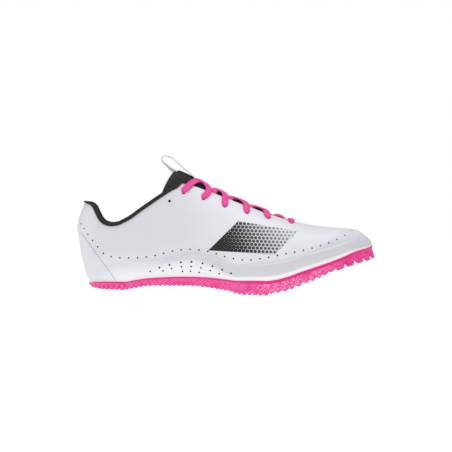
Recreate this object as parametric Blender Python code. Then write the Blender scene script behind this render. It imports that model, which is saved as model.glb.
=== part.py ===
"""Track spike shoe for the right foot, standing empty on its sole.

+X points to the toe, +Y to the inner (medial) side and +Z up. The floor is at Z = 0.
The upper, the foam wedge, the insole, the tongue, the binding and the laces are all laid on
one surface, the skin of the last, which the function `skin` gives at any place of the shoe.
"""
import math

import bmesh
import bpy
from mathutils import Matrix, Vector

# Overall sizes, in metres
LENGTH = 0.262            # heel to the tip of the outsole
AXIS_SHIFT = -0.0017      # the last's axis across the shoe, so that the shoe stands centred
TOE_BUMPER = 0.0029       # outsole standing ahead of the upper's toe
BALL_WIDTH = 0.084        # width of the last at the ball of the foot
INSTEP_HEIGHT = 0.108     # crest of the last at the ankle, above the floor
HEEL_HEIGHT = 0.0773      # top of the collar at the back of the heel
HEEL_LEAN = 0.0126        # the heel's foot is this far ahead of its rearmost point
TOE_SPRING = 0.0370       # underside of the toe above the floor
PLATE = 0.0130            # thickness of the outsole at the ball, lugs included
WEDGE = 0.0185            # tallest side of the foam wedge, above the outsole
FOAM_BED = 0.0100         # foam under the heel
FOAM_LIP = 0.0026         # width of the wedge's rim
FOAM_DISH = 0.0070        # width of the slope from the rim down to the bed
FOAM_HOLLOW = 0.0008      # the bed's dip along the middle
FOAM_BED_LIMIT = 0.72     # the bed stays below this share of the rim's height
FOAM_TOE_NARROW = 0.6     # how much narrower the rim and its slope get towards the toe

# Walls, gaps and edges
WALL = 0.0016             # coated textile of the upper, with its lining
GAP = 0.0003              # clearance between touching pieces
LINING_GAP = 0.0004       # clearance along the inner side of the wall
LEDGE_STEP = 0.0012       # how far the wall stands out where it wraps the wedge
LEDGE_SOFT = 0.0022       # height over which that step rises
INSOLE = 0.0030
INSOLE_CURL = 0.45        # how far up the wedge's slope the liner reaches
BINDING = 0.0008          # thickness of the collar's black band
BINDING_WIDTH = 0.0027    # its width down the wall
BINDING_END = 0.336       # where the band ends at the throat's corner, as a share of length
THROAT_HALF = 0.0140      # half the throat's width at the collar
THROAT_PLACE = 0.748      # front end of the throat, as a share of the upper's length
THROAT_ROUND = 0.0060     # radius of that end

# Eyelets, laces, tongue and loop
EYELET = 0.0036           # hole for the lace
SPARE_EYELET = 0.0024     # smaller hole above the others
LACE_WIDTH = 0.0058
LACE_THICK = 0.0018
LACE_STOP = 0.0055        # a crossing ends this far short of the edge that it dips under
LACE_AHEAD = 0.0045       # and this far ahead of the strand that climbs that edge
LACE_CLEAR = 0.0070       # the lowest crossing starts this far above the bar
LACE_OVER = 0.95          # rise of the outer strand where it crosses, as a share of its thickness
LACE_STEPS = 9            # pieces of one strand
TONGUE_THICK = 0.0034
TONGUE_DROP = 0.0022      # room for the lace between the upper and the tongue
TONGUE_LIFT = 0.0034      # the tongue's rise into the throat
TONGUE_TOP_LIFT = 0.0064  # its rise at the free top
TONGUE_ROLL = 0.0026      # how far its very end turns down
TONGUE_HALF = 0.256       # half its width at the top, as a share of BALL_WIDTH
TONGUE_TOE = 0.42         # its width at the toe end, as a share of that
TONGUE_FRONT = 0.715      # its toe end, as a share of the upper's length
TONGUE_BACK = 0.317       # its free top
TONGUE_CORNERS = 0.042    # how much further back the top's corners reach
TONGUE_FREE = 0.785       # where it leaves the throat, as a share of its own length
TONGUE_RISEN = 0.850      # where it stands at its full height
TONGUE_END = 0.945         # where its end starts to turn down
TONGUE_ROWS = [0.0, 0.1, 0.2, 0.3, 0.4, 0.5, 0.6, 0.7, 0.785, 0.808, 0.830, 0.865, 0.895,
               0.93, 0.965, 1.0]
TONGUE_COLUMNS = [-1.0, -0.72, -0.46, -0.22, 0.0001, 0.22, 0.46, 0.72, 1.0]
LOOP_WIDTH = 0.0090
LOOP_THICK = 0.0009
LOOP_REACH = 0.0140       # height of the loop over the tongue's top

# Outsole
RIM = 0.0008              # how far the sole's edge stands out from the upper
RIM_HEIGHT = 0.0018
RIM_STEP = 0.0006
SIDE_SLANT = 0.0010
SOLE_BORDER = 0.0100      # band along the sole's edge whose teeth differ from its middle
SIDE_BAND = 0.0140        # where the sole is narrower than this, they fade into one
HEEL_CHAMFER = 0.0030     # the heel's underside starts this far ahead of its top edge
SPIKE_WELL = 0.0062       # receptacle for a spike
SPIKE_WELL_DEPTH = 0.0030

UPPER_LENGTH = LENGTH - TOE_BUMPER
HEEL_X = -LENGTH / 2
HEEL_SHARE = 0.35         # the heel's lean fades out over this share of the length
STATIONS = 40
ROWS_BELOW_LEDGE = 2
ROWS_ABOVE_LEDGE = 5
FOAM_END = 0.96           # the round parameter at which the foam stops in the toe
INSOLE_END = 0.91
WELD = 0.00001
SKIN_STEP = 0.004         # step of the round parameter and the angle for the skin's directions
LEDGE_REACH = 0.80        # the soft step stays below this share of the way up to the opening
ROW_EASE = 1.35           # the wall's rows stand closer towards the opening
CORNER_START = 0.325      # the collar's edge turns into the throat's edge between these places
CORNER_FINISH = 0.360
CORNER_PLACES = [0.302, 0.322, BINDING_END]

# Breadths are shares of BALL_WIDTH, measured from the shoe's axis, at a share of the length.
# `crest` is where the last's ridge runs, and the tucks narrow the foot of each side.
PLAN_COLUMNS = "place outer inner crest tuck_outer tuck_inner fullness"
PLAN = [
    (0.00, 0.000, 0.000, 0.000, 0.12, 0.12, 2.70),
    (0.02, 0.167, 0.155, 0.000, 0.12, 0.12, 2.70),
    (0.06, 0.262, 0.250, 0.000, 0.12, 0.12, 2.70),
    (0.12, 0.327, 0.315, 0.000, 0.12, 0.12, 2.65),
    (0.20, 0.357, 0.339, 0.000, 0.12, 0.13, 2.55),
    (0.30, 0.363, 0.333, 0.004, 0.13, 0.19, 2.30),
    (0.40, 0.369, 0.315, 0.006, 0.13, 0.24, 2.10),
    (0.50, 0.405, 0.327, 0.006, 0.11, 0.20, 2.15),
    (0.58, 0.452, 0.381, 0.012, 0.08, 0.12, 2.25),
    (0.64, 0.482, 0.435, 0.018, 0.06, 0.08, 2.35),
    (0.70, 0.482, 0.488, 0.036, 0.05, 0.05, 2.45),
    (0.76, 0.452, 0.518, 0.060, 0.05, 0.05, 2.50),
    (0.82, 0.393, 0.512, 0.083, 0.05, 0.05, 2.50),
    (0.88, 0.298, 0.476, 0.113, 0.05, 0.05, 2.45),
    (0.93, 0.200, 0.435, 0.138, 0.05, 0.05, 2.40),
    (0.97, 0.070, 0.355, 0.148, 0.04, 0.04, 2.30),
    (1.00, -0.152, 0.152, 0.152, 0.04, 0.04, 2.20),
]

# Height of the last's ridge, as a share of INSTEP_HEIGHT
CREST_COLUMNS = "place height"
CREST = [
    (0.000, 1.000), (0.216, 1.000), (0.282, 0.993), (0.328, 0.968), (0.394, 0.903),
    (0.463, 0.830), (0.564, 0.730), (0.668, 0.644), (0.737, 0.602), (0.800, 0.577),
    (0.868, 0.565), (0.924, 0.560), (0.951, 0.548), (0.978, 0.509), (0.996, 0.470),
    (1.000, 0.433),
]

# Underside as a share of TOE_SPRING, and the plate as a share of PLATE
SOLE_COLUMNS = "place underside plate"
SOLE = [
    (0.000, 0.030, 0.305), (0.008, 0.026, 0.322), (0.030, 0.016, 0.415), (0.050, 0.005, 0.477),
    (0.075, 0.000, 0.525), (0.150, 0.000, 0.570), (0.200, 0.055, 0.570), (0.250, 0.108, 0.577),
    (0.350, 0.138, 0.654), (0.400, 0.146, 0.662), (0.470, 0.103, 0.754), (0.520, 0.057, 0.800),
    (0.560, 0.000, 0.935), (0.640, 0.000, 0.995), (0.680, 0.049, 0.977), (0.720, 0.116, 1.030),
    (0.760, 0.246, 0.985), (0.820, 0.422, 0.923), (0.880, 0.622, 0.815), (0.950, 0.827, 0.846),
    (1.000, 1.000, 0.754),
]

# The foam's side as a share of WEDGE, and the foam under the foot as a share of FOAM_BED
FOAM_COLUMNS = "place side bed"
FOAM = [
    (0.000, 0.700, 0.85), (0.070, 0.745, 0.95), (0.185, 0.800, 1.00), (0.240, 0.720, 1.00),
    (0.290, 0.810, 1.00), (0.394, 1.000, 0.98), (0.438, 0.980, 0.92), (0.521, 0.735, 0.80),
    (0.550, 0.690, 0.75), (0.600, 0.730, 0.70), (0.660, 0.805, 0.65), (0.737, 0.757, 0.60),
    (0.818, 0.690, 0.52), (0.876, 0.654, 0.45), (0.917, 0.610, 0.40), (0.950, 0.400, 0.30),
    (1.000, 0.200, 0.15),
]

# The heel's profile: forward of its rearmost point as a share of HEEL_LEAN, at a share of
# HEEL_HEIGHT above the floor
HEEL_COLUMNS = "height lean"
HEEL = [
    (0.00, 1.08), (0.065, 1.00), (0.153, 0.72), (0.243, 0.55), (0.378, 0.33), (0.547, 0.14),
    (0.683, 0.00), (0.776, 0.08), (0.855, 0.21), (0.978, 0.46), (1.100, 0.62), (1.500, 0.90),
]

# The collar's edge: height as a share of HEEL_HEIGHT at a share of LENGTH from the heel
COLLAR_COLUMNS = "along height"
COLLAR = [
    (0.020, 1.000), (0.045, 0.985), (0.058, 0.950), (0.069, 0.880), (0.081, 0.812),
    (0.096, 0.773), (0.115, 0.760), (0.134, 0.770), (0.154, 0.803), (0.175, 0.845),
    (0.207, 0.930), (0.240, 1.015), (0.280, 1.115), (0.312, 1.187), (0.335, 1.222),
    (0.360, 1.245),
]

# The throat's edge: half its width as a share of THROAT_HALF
THROAT_COLUMNS = "place half"
THROAT = [
    (0.320, 1.04), (0.354, 0.95), (0.394, 0.82), (0.428, 0.76), (0.486, 0.68),
    (0.548, 0.62), (0.594, 0.58), (0.652, 0.52), (0.700, 0.46), (THROAT_PLACE, 0.43),
]

# Rows of laced eyelets, top to toe. Each row: place as a share of the upper's length, metres
# below the edge, and how far ahead of its hole a strand climbs over that edge, in metres
EYELETS = [
    (0.357, 0.0100, 0.0050), (0.425, 0.0106, 0.0040), (0.498, 0.0124, -0.0009),
    (0.573, 0.0132, -0.0022), (0.645, 0.0130, -0.0033), (0.723, 0.0110, 0.0000),
]
SPARE_EYELET_SPOT = (0.310, 0.0116)

# Zones of the outsole's underside, heel to toe. Each row: end, pitch, depth, land, groove, form.
# Pitch, depth and groove are in metres, `land` is the flat share of each tooth, `groove` cuts
# the side, and `form` says how the teeth cross the sole.
ZONES = [
    (0.155, 0.0050, 0.0016, 0.62, 0.0008, "rib"),
    (0.555, 0.0041, 0.0014, 0.00, 0.0000, "edge"),
    (0.645, 0.0050, 0.0014, 0.50, 0.0003, "rib"),
    (0.860, 0.0060, 0.0026, 0.00, 0.0000, "edge"),
    (1.000, 0.0092, 0.0028, 0.50, 0.0005, "rib"),
]

# Spike wells under the forefoot: place along, and across as a share of the sole's half width
WELLS = [
    (0.600, -0.62), (0.610, 0.60), (0.700, -0.66), (0.720, 0.66), (0.825, -0.52), (0.850, 0.58),
]

# The loop's path from the tongue's end round to its front: back and up as shares of
# LOOP_REACH, from the tongue's top
LOOP_PATH = [
    (0.04, 0.06), (0.21, 0.17), (0.41, 0.34), (0.62, 0.51), (0.74, 0.65), (0.76, 0.78),
    (0.68, 0.90), (0.50, 0.93), (0.21, 0.86), (-0.18, 0.60), (-0.52, 0.31), (-0.80, 0.04),
]
LOOP_LANDING = 0.838      # where it lands, as a share of the tongue's length


def turn_at(place):
    """The last's round parameter, 0 at the heel and 1 at the toe, for a share of the length."""
    return math.acos(1 - 2 * min(1.0, max(0.0, place))) / math.pi


def place_at(turn):
    return (1 - math.cos(math.pi * turn)) / 2


def ease(value):
    value = min(1.0, max(0.0, value))
    return value * value * (3 - 2 * value)


def smooth_curve(xs, ys):
    """A smooth curve through points, which never swings past them."""
    steps = [b - a for a, b in zip(xs, xs[1:])]
    rises = [(b - a) / step for a, b, step in zip(ys, ys[1:], steps)]
    slopes = [rises[0]]
    for before, after in zip(rises, rises[1:]):
        flat = before * after <= 0
        slopes.append(0.0 if flat else 2 * before * after / (before + after))
    slopes.append(rises[-1])

    def value_at(x):
        x = min(xs[-1], max(xs[0], x))
        k = max(i for i in range(len(steps)) if xs[i] <= x)
        s = (x - xs[k]) / steps[k]
        start = (1 + 2 * s) * (1 - s) ** 2 * ys[k] + s * (1 - s) ** 2 * slopes[k] * steps[k]
        end = s * s * (3 - 2 * s) * ys[k + 1] + s * s * (s - 1) * slopes[k + 1] * steps[k]
        return start + end

    return value_at


def curves_of(columns, rows, key=lambda value: value):
    """One smooth curve for each named column of a table, over its first column."""
    names = columns.split()
    xs = [key(row[0]) for row in rows]
    return {name: smooth_curve(xs, [row[i] for row in rows])
            for i, name in enumerate(names) if i > 0}


plan = curves_of(PLAN_COLUMNS, PLAN, turn_at)
crest = curves_of(CREST_COLUMNS, CREST, turn_at)
sole = curves_of(SOLE_COLUMNS, SOLE, turn_at)
foam = curves_of(FOAM_COLUMNS, FOAM, turn_at)
heel = curves_of(HEEL_COLUMNS, HEEL)
collar = curves_of(COLLAR_COLUMNS, COLLAR)
throat = curves_of(THROAT_COLUMNS, THROAT)


def underside(turn):
    return sole["underside"](turn) * TOE_SPRING


def feather_height(turn):
    """Height of the outsole's top, where the upper's wall stands."""
    return underside(turn) + sole["plate"](turn) * PLATE


def ledge_height(turn):
    """Height of the soft step where the wall leaves the foam wedge."""
    return feather_height(turn) + foam["side"](turn) * WEDGE


def crest_y(turn):
    """Where the last's ridge runs across the shoe."""
    return AXIS_SHIFT + plan["crest"](turn) * BALL_WIDTH


def raw_skin(turn, side, angle):
    """A point of the last. side is -1 outside and +1 inside, angle 0 at the foot of the wall
    and a quarter turn at the crest."""
    place = place_at(turn)
    foot = feather_height(turn) + GAP
    rise = max(0.0, crest["height"](turn) * INSTEP_HEIGHT - foot)
    power = 2 / plan["fullness"](turn)
    height = foot + rise * max(0.0, math.sin(angle)) ** power
    middle = crest_y(turn)
    edge = AXIS_SHIFT + plan["outer" if side < 0 else "inner"](turn) * BALL_WIDTH * side
    tuck = plan["tuck_outer" if side < 0 else "tuck_inner"](turn)
    spread = max(0.0, math.cos(angle)) ** power * (1 - tuck * (1 - math.sin(angle)) ** 3)
    fade = ease((place - 0.03) / 0.09) * (1 - ease((place - 0.90) / 0.085))
    below = ease((ledge_height(turn) - height) / LEDGE_SOFT + 0.5)
    across = middle + (edge - middle) * spread + side * LEDGE_STEP * fade * below
    lean = heel["lean"](height / HEEL_HEIGHT) * HEEL_LEAN
    along = HEEL_X + UPPER_LENGTH * place + lean * max(0.0, 1 - place / HEEL_SHARE) ** 2
    return Vector((along, across, height))


def frame_at(turn, side, angle):
    """The skin's point and its two directions: round the shoe, and up the wall."""
    low = max(0.0, angle - SKIN_STEP)
    high = min(math.pi / 2, angle + SKIN_STEP)
    up = raw_skin(turn, side, high) - raw_skin(turn, side, low)
    if turn < SKIN_STEP:
        round_way = raw_skin(SKIN_STEP, side, angle) - raw_skin(SKIN_STEP, -side, angle)
    else:
        ahead = min(1.0, turn + SKIN_STEP)
        round_way = raw_skin(ahead, side, angle) - raw_skin(turn - SKIN_STEP, side, angle)
    return raw_skin(turn, side, angle), round_way, up


def outward(turn, side, angle):
    if turn > 0.9999:
        return Vector((1.0, 0.0, 0.0))
    _, round_way, up = frame_at(turn, side, angle)
    return (round_way.cross(up) * -side).normalized()


def skin(turn, side, angle, depth=0.0):
    """A point of the last's skin, moved `depth` inward."""
    return raw_skin(turn, side, angle) - outward(turn, side, angle) * depth


def slide(turn, side, angle, move):
    """The place on the skin that a short move along it from another place leads to."""
    target = raw_skin(turn, side, angle) + move
    for _ in range(4):
        point, round_way, up = frame_at(turn, side, angle)
        left = target - point
        round_way = round_way / (2 * SKIN_STEP)
        up = up / (2 * SKIN_STEP)
        a, b, c = round_way.dot(round_way), round_way.dot(up), up.dot(up)
        det = a * c - b * b
        turn += (left.dot(round_way) * c - left.dot(up) * b) / det
        angle += (left.dot(up) * a - left.dot(round_way) * b) / det
        if turn < 0:
            turn = -turn
            side = -side
        angle = min(math.pi / 2, max(0.0, angle))
    return turn, side, angle


def solve_angle(passed):
    """The angle at which a rising test on the skin first holds."""
    low = 0.0
    high = math.pi / 2
    for _ in range(40):
        middle = (low + high) / 2
        if passed(middle):
            high = middle
        else:
            low = middle
    return high


def angle_at_breadth(turn, side, breadth):
    middle = crest_y(turn)
    return solve_angle(lambda angle: abs(raw_skin(turn, side, angle).y - middle) <= breadth)


def angle_at_height(turn, side, height):
    return solve_angle(lambda angle: raw_skin(turn, side, angle).z >= height)


def throat_half(place):
    left = (THROAT_PLACE - place) * UPPER_LENGTH
    if left <= 0:
        return 0.0
    near = 1 - min(1.0, left / THROAT_ROUND)
    return throat["half"](place) * THROAT_HALF * math.sqrt(1 - near * near)


def edge_angle(turn, side):
    """The angle of the opening's edge: the collar behind, the throat in front."""
    place = place_at(turn)
    if place >= THROAT_PLACE:
        return math.pi / 2

    def over_collar(angle):
        point = raw_skin(turn, side, angle)
        edge = collar["height"]((point.x - HEEL_X) / LENGTH) * HEEL_HEIGHT
        return point.z >= edge - BINDING - GAP

    behind = solve_angle(over_collar)
    if place < CORNER_START:
        return behind
    in_front = angle_at_breadth(turn, side, throat_half(place))
    share = ease((place - CORNER_START) / (CORNER_FINISH - CORNER_START))
    return behind + (in_front - behind) * share


def station_turns():
    """Round parameters of the stations, with a few more at the heel, at the corner where the
    collar meets the throat, and round the throat's front end."""
    turns = [k / STATIONS for k in range(STATIONS + 1)]
    turns.append(0.5 / STATIONS)
    turns += [turn_at(place) for place in CORNER_PLACES]
    for left in (0.0, 0.07, 0.30, 0.70, 1.0):
        turns.append(turn_at(THROAT_PLACE - left * THROAT_ROUND / UPPER_LENGTH))
    turns.sort()
    kept = [turns[0]]
    for turn in turns[1:]:
        near = turn - kept[-1] < SKIN_STEP
        extra = abs(turn * STATIONS - round(turn * STATIONS)) > 1e-6
        if near and not extra:
            continue
        kept.append(turn)
    return kept


def plain_material(name, color, roughness, metallic=0.0):
    material = bpy.data.materials.new(name)
    material.use_nodes = True
    shader = material.node_tree.nodes["Principled BSDF"]
    shader.inputs["Base Color"].default_value = (*color, 1.0)
    shader.inputs["Roughness"].default_value = roughness
    shader.inputs["Metallic"].default_value = metallic
    return material


def add_object(name, mesh_data, material):
    mesh = bpy.data.meshes.new(name)
    mesh_data.to_mesh(mesh)
    mesh_data.free()
    mesh.shade_smooth()
    mesh.set_sharp_from_angle(angle=math.radians(35))
    piece = bpy.data.objects.new(name, mesh)
    bpy.context.scene.collection.objects.link(piece)
    piece.data.materials.append(material)
    return piece


def grid_faces(mesh_data, rows, closed=False):
    """Quads between rows of points. A closed row's last point joins its first."""
    columns = [[mesh_data.verts.new(point) for point in row] for row in rows]
    for left, right in zip(columns, columns[1:]):
        count = len(left)
        for k in range(count if closed else count - 1):
            n = (k + 1) % count
            mesh_data.faces.new((left[k], right[k], right[n], left[n]))
    return columns


def weld(mesh_data):
    bmesh.ops.remove_doubles(mesh_data, verts=mesh_data.verts, dist=WELD)
    bmesh.ops.dissolve_degenerate(mesh_data, edges=mesh_data.edges, dist=WELD)
    bmesh.ops.recalc_face_normals(mesh_data, faces=mesh_data.faces)


def face_outward(mesh_data):
    """Turn a closed solid's faces out."""
    if mesh_data.calc_volume(signed=True) < 0:
        bmesh.ops.reverse_faces(mesh_data, faces=mesh_data.faces)


def loft(rings):
    """A closed solid through closed rings of points, with flat ends where they have an area."""
    mesh_data = bmesh.new()
    columns = grid_faces(mesh_data, rings, closed=True)
    for ring in (columns[0], columns[-1]):
        spread = max((v.co - ring[0].co).length for v in ring)
        if spread > WELD:
            mesh_data.faces.new(ring)
    weld(mesh_data)
    face_outward(mesh_data)
    return mesh_data


def wall_angles(turn, side):
    """Angles of the wall's rows, with one row on each side of the soft step."""
    top = edge_angle(turn, side)
    ledge = ledge_height(turn)
    below = min(angle_at_height(turn, side, ledge - LEDGE_SOFT / 2), top * LEDGE_REACH)
    above = min(angle_at_height(turn, side, ledge + LEDGE_SOFT / 2), top * (LEDGE_REACH + 0.06))
    angles = [below * (k / ROWS_BELOW_LEDGE) ** ROW_EASE for k in range(ROWS_BELOW_LEDGE)]
    angles.append(below)
    for k in range(ROWS_ABOVE_LEDGE + 1):
        share = 1 - (1 - k / ROWS_ABOVE_LEDGE) ** ROW_EASE
        angles.append(above + (top - above) * share)
    return angles


def make_upper(turns):
    """One hollow shell: a sheet on the last's skin, thickened inward, with its eyelets cut."""
    mesh_data = bmesh.new()
    for side in (-1, 1):
        rows = [[skin(turn, side, angle) for angle in wall_angles(turn, side)] for turn in turns]
        grid_faces(mesh_data, rows)
    weld(mesh_data)
    white = plain_material("coated_textile", (0.80, 0.81, 0.84), 0.45)
    upper = add_object("upper", mesh_data, white)
    middle = sum((v.co for v in upper.data.vertices), Vector()) / len(upper.data.vertices)
    side_face = max(upper.data.polygons, key=lambda face: abs(face.center.y))
    if side_face.normal.y * (side_face.center.y - middle.y) < 0:
        upper.data.flip_normals()
    wall = upper.modifiers.new("wall", "SOLIDIFY")
    wall.thickness = WALL
    wall.offset = -1.0
    cutter = make_eyelet_cutter()
    holes = upper.modifiers.new("eyelets", "BOOLEAN")
    holes.operation = "DIFFERENCE"
    holes.solver = "EXACT"
    holes.object = cutter
    return upper


def eyelet_spot(place, side, inset):
    """The skin place of an eyelet, `inset` down from the opening's edge."""
    turn = turn_at(place)
    top = edge_angle(turn, side)
    down = raw_skin(turn, side, top - SKIN_STEP) - raw_skin(turn, side, top)
    return slide(turn, side, top, down.normalized() * inset)


def make_eyelet_cutter():
    holes = [(place, inset, EYELET) for place, inset, _ in EYELETS]
    holes.append((*SPARE_EYELET_SPOT, SPARE_EYELET))
    mesh_data = bmesh.new()
    for place, inset, width in holes:
        for side in (-1, 1):
            spot = eyelet_spot(place, side, inset)
            axis = outward(*spot)
            turned = axis.to_track_quat("Z", "Y").to_matrix().to_4x4()
            matrix = Matrix.Translation(skin(*spot, WALL / 2)) @ turned
            bmesh.ops.create_cone(mesh_data, cap_ends=True, segments=10, radius1=width / 2,
                                  radius2=width / 2, depth=WALL * 4, matrix=matrix)
    cutter = add_object("eyelet_cutter", mesh_data, plain_material("cutter", (1, 0, 0), 1.0))
    cutter.hide_render = True
    cutter.display_type = "WIRE"
    return cutter


def outline_at(turn, side):
    point = raw_skin(turn, side, 0.0)
    return Vector((point.x, point.y, 0.0))


def outline_out(turn, side):
    """The level direction that points out of the shoe's outline."""
    if turn > 0.9999:
        return Vector((1.0, 0.0, 0.0))
    ahead = outline_at(min(1.0, turn + SKIN_STEP), side)
    round_heel = turn < SKIN_STEP
    behind = outline_at(SKIN_STEP if round_heel else turn - SKIN_STEP, -side if round_heel else side)
    run = (ahead - behind).normalized()
    return Vector((run.y, -run.x, 0.0)) * -side


def sole_top_at(x):
    """Height of the outsole's top at a place along X."""
    low = 0.0
    high = 1.0
    for _ in range(30):
        middle = (low + high) / 2
        if outline_at(middle, -1).x < x:
            low = middle
        else:
            high = middle
    return feather_height(high)


def foam_side(turn, side):
    """The wedge's points on one side, from its foot over its rim to the edge of its bed."""
    depth = WALL + LINING_GAP
    angles = wall_angles(turn, side)
    foot, half_way, rim = [skin(turn, side, angle, depth) for angle in angles[:3]]
    foot.z = sole_top_at(foot.x) + LINING_GAP
    rise = rim.z - foot.z
    narrow = 1 - FOAM_TOE_NARROW * ease((place_at(turn) - 0.88) / 0.12)
    out = outline_out(turn, side)
    lip = rim - out * FOAM_LIP * narrow
    bed_edge = rim - out * (FOAM_LIP + FOAM_DISH) * narrow
    bed_edge.z = foot.z + min(foam["bed"](turn) * FOAM_BED, FOAM_BED_LIMIT * rise)
    return foot, half_way, rim, lip, bed_edge


def make_midsole(turns):
    rings = []
    for turn in turns:
        outer = foam_side(turn, -1)
        inner = foam_side(turn, 1)
        centre = (outer[-1] + inner[-1]) / 2
        centre.z -= FOAM_HOLLOW * ease(turn / 0.2)
        rings.append([*outer, centre, *reversed(inner)])
    return add_object("midsole", loft(rings), plain_material("foam", (0.75, 0.76, 0.78), 0.8))


def make_insole(turns):
    """A liner that lies in the wedge's dish and curls a little up its sides."""
    rings = []
    for turn in turns:
        sides = []
        for side in (-1, 1):
            *_, lip, bed_edge = foam_side(turn, side)
            curl = bed_edge.lerp(lip, INSOLE_CURL) - outline_out(turn, side) * GAP
            sides.append([curl, bed_edge])
        centre = (sides[0][1] + sides[1][1]) / 2
        centre.z -= FOAM_HOLLOW * ease(turn / 0.2)
        under = [*sides[0], centre, *reversed(sides[1])]
        low = [point + Vector((0.0, 0.0, GAP)) for point in under]
        high = [point + Vector((0.0, 0.0, INSOLE)) for point in reversed(low)]
        rings.append([*low, *high])
    return add_object("insole", loft(rings), plain_material("liner", (0.05, 0.05, 0.055), 0.9))


def tongue_point(along, across, extra):
    """A point of the tongue: along 0 at the toe end and 1 at its free top, across -1 to 1."""
    side = -1 if across < 0 else 1
    back = TONGUE_BACK - TONGUE_CORNERS * across * across
    turn = turn_at(TONGUE_FRONT + (back - TONGUE_FRONT) * along)
    half = TONGUE_HALF * BALL_WIDTH * (TONGUE_TOE + (1 - TONGUE_TOE) * ease(along / 0.75))
    angle = angle_at_breadth(turn, side, abs(across) * half)
    edge = edge_angle(turn, side)
    free = ease((angle - edge) / (math.pi / 2 - edge))
    rise = ease((along - TONGUE_FREE) / (TONGUE_RISEN - TONGUE_FREE))
    lift = TONGUE_LIFT + (TONGUE_TOP_LIFT - TONGUE_LIFT) * rise
    lift -= TONGUE_ROLL * ease((along - TONGUE_END) / (1 - TONGUE_END))
    depth = WALL + TONGUE_DROP - lift * free
    return skin(turn, side, angle, depth + extra)


def make_tongue():
    rings = []
    for along in TONGUE_ROWS:
        outer = [tongue_point(along, across, 0.0) for across in TONGUE_COLUMNS]
        inner = [tongue_point(along, across, TONGUE_THICK) for across in reversed(TONGUE_COLUMNS)]
        rings.append([*outer, *inner])
    black = plain_material("black_textile", (0.02, 0.02, 0.02), 0.9)
    return add_object("tongue", loft(rings), black)


def collar_path(turns):
    """Places along the collar's edge, from the outer throat corner round the heel."""
    outer = [turn for turn in reversed(turns) if place_at(turn) < BINDING_END + 0.0001]
    path = [(turn, -1, edge_angle(turn, -1)) for turn in outer]
    path += [(turn, 1, edge_angle(turn, 1)) for turn in reversed(outer[:-1])]
    return path


def make_collar_binding(turns):
    """A folded band over the collar's edge, its legs following the wall."""
    path = collar_path(turns)
    points = [raw_skin(*spot) for spot in path]
    rings = []
    for k, spot in enumerate(path):
        before = points[max(0, k - 1)]
        after = points[min(len(points) - 1, k + 1)]
        run = (after - before).normalized()
        normal = outward(*spot)
        down = normal.cross(run).normalized()
        if down.z > 0:
            down = -down
        leg = slide(*spot, down * BINDING_WIDTH)
        out_far = GAP + BINDING
        in_near = WALL + LINING_GAP
        in_far = in_near + BINDING
        roof = -down * out_far
        ring = [
            skin(*leg, -out_far), points[k] + normal * out_far + roof,
            points[k] - normal * in_far + roof, skin(*leg, in_far), skin(*leg, in_near),
            points[k] - normal * in_near - down * GAP, points[k] + normal * GAP - down * GAP,
            skin(*leg, -GAP),
        ]
        rings.append(ring)
    black = plain_material("black_binding", (0.015, 0.015, 0.015), 0.8)
    return add_object("collar_binding", loft(rings), black)


def lace_point(place, breadth, depth):
    """A point over the throat, `breadth` from the crest, outside below zero."""
    side = -1 if breadth < 0 else 1
    turn = turn_at(place)
    angle = angle_at_breadth(turn, side, abs(breadth))
    return skin(turn, side, angle, depth), outward(turn, side, angle)


def strand_rings(knots, bump):
    """Rings of one flat strand through (place, breadth) knots, humped at its middle."""
    count = LACE_STEPS
    walked = [0.0]
    for before, after in zip(knots, knots[1:]):
        step = math.hypot((after[0] - before[0]) * UPPER_LENGTH, after[1] - before[1])
        walked.append(walked[-1] + step)
    place_on = smooth_curve(walked, [knot[0] for knot in knots])
    breadth_on = smooth_curve(walked, [knot[1] for knot in knots])
    centres = []
    normals = []
    for k in range(count + 1):
        share = k / count
        hump = bump * math.sin(math.pi * share) ** 2
        depth = -(GAP + LACE_THICK / 2 + hump)
        place = place_on(walked[-1] * share)
        breadth = breadth_on(walked[-1] * share)
        point, normal = lace_point(place, breadth + 0.00001, depth)
        centres.append(point)
        normals.append(normal)
    rings = []
    for k, (centre, normal) in enumerate(zip(centres, normals)):
        run = (centres[min(count, k + 1)] - centres[max(0, k - 1)]).normalized()
        wide = normal.cross(run).normalized()
        high = run.cross(wide).normalized()
        w = wide * LACE_WIDTH / 2
        h = high * LACE_THICK / 2
        rings.append([centre - w, centre - w * 0.7 + h, centre + w * 0.7 + h, centre + w,
                      centre + w * 0.7 - h, centre - w * 0.7 - h])
    return rings


def lace_hole(row, side):
    """Place and breadth of an eyelet, for a strand that starts there."""
    spot = eyelet_spot(row[0], side, row[1])
    return place_at(spot[0]), side * abs(raw_skin(*spot).y - crest_y(spot[0]))


def lace_edge(row, side):
    """Place and breadth where the strand from that eyelet climbs over the throat's edge."""
    place = row[0] + row[2] / UPPER_LENGTH
    return place, side * throat_half(place)


def strand_knots(above, below, side):
    """The way of one strand between two rows of eyelets, starting on one side of the throat."""
    upper_edge = lace_edge(above, -side)
    lower_edge = lace_edge(below, side)
    ridge_place = (upper_edge[0] + lower_edge[0]) / 2
    reach = upper_edge[0] + LACE_AHEAD / UPPER_LENGTH
    if above == EYELETS[0]:
        return [lace_hole(below, side), lower_edge, (ridge_place, 0.0), upper_edge,
                lace_hole(above, -side)]
    if below == EYELETS[-1]:
        start = below[0] - LACE_CLEAR / UPPER_LENGTH
        return [(start, side * (throat_half(start) - LACE_STOP / 2)),
                (reach, -side * (throat_half(reach) - LACE_STOP / 2))]
    return [lace_hole(below, side), lower_edge, (ridge_place, 0.0),
            (reach, -side * (throat_half(reach) - LACE_STOP))]


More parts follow.
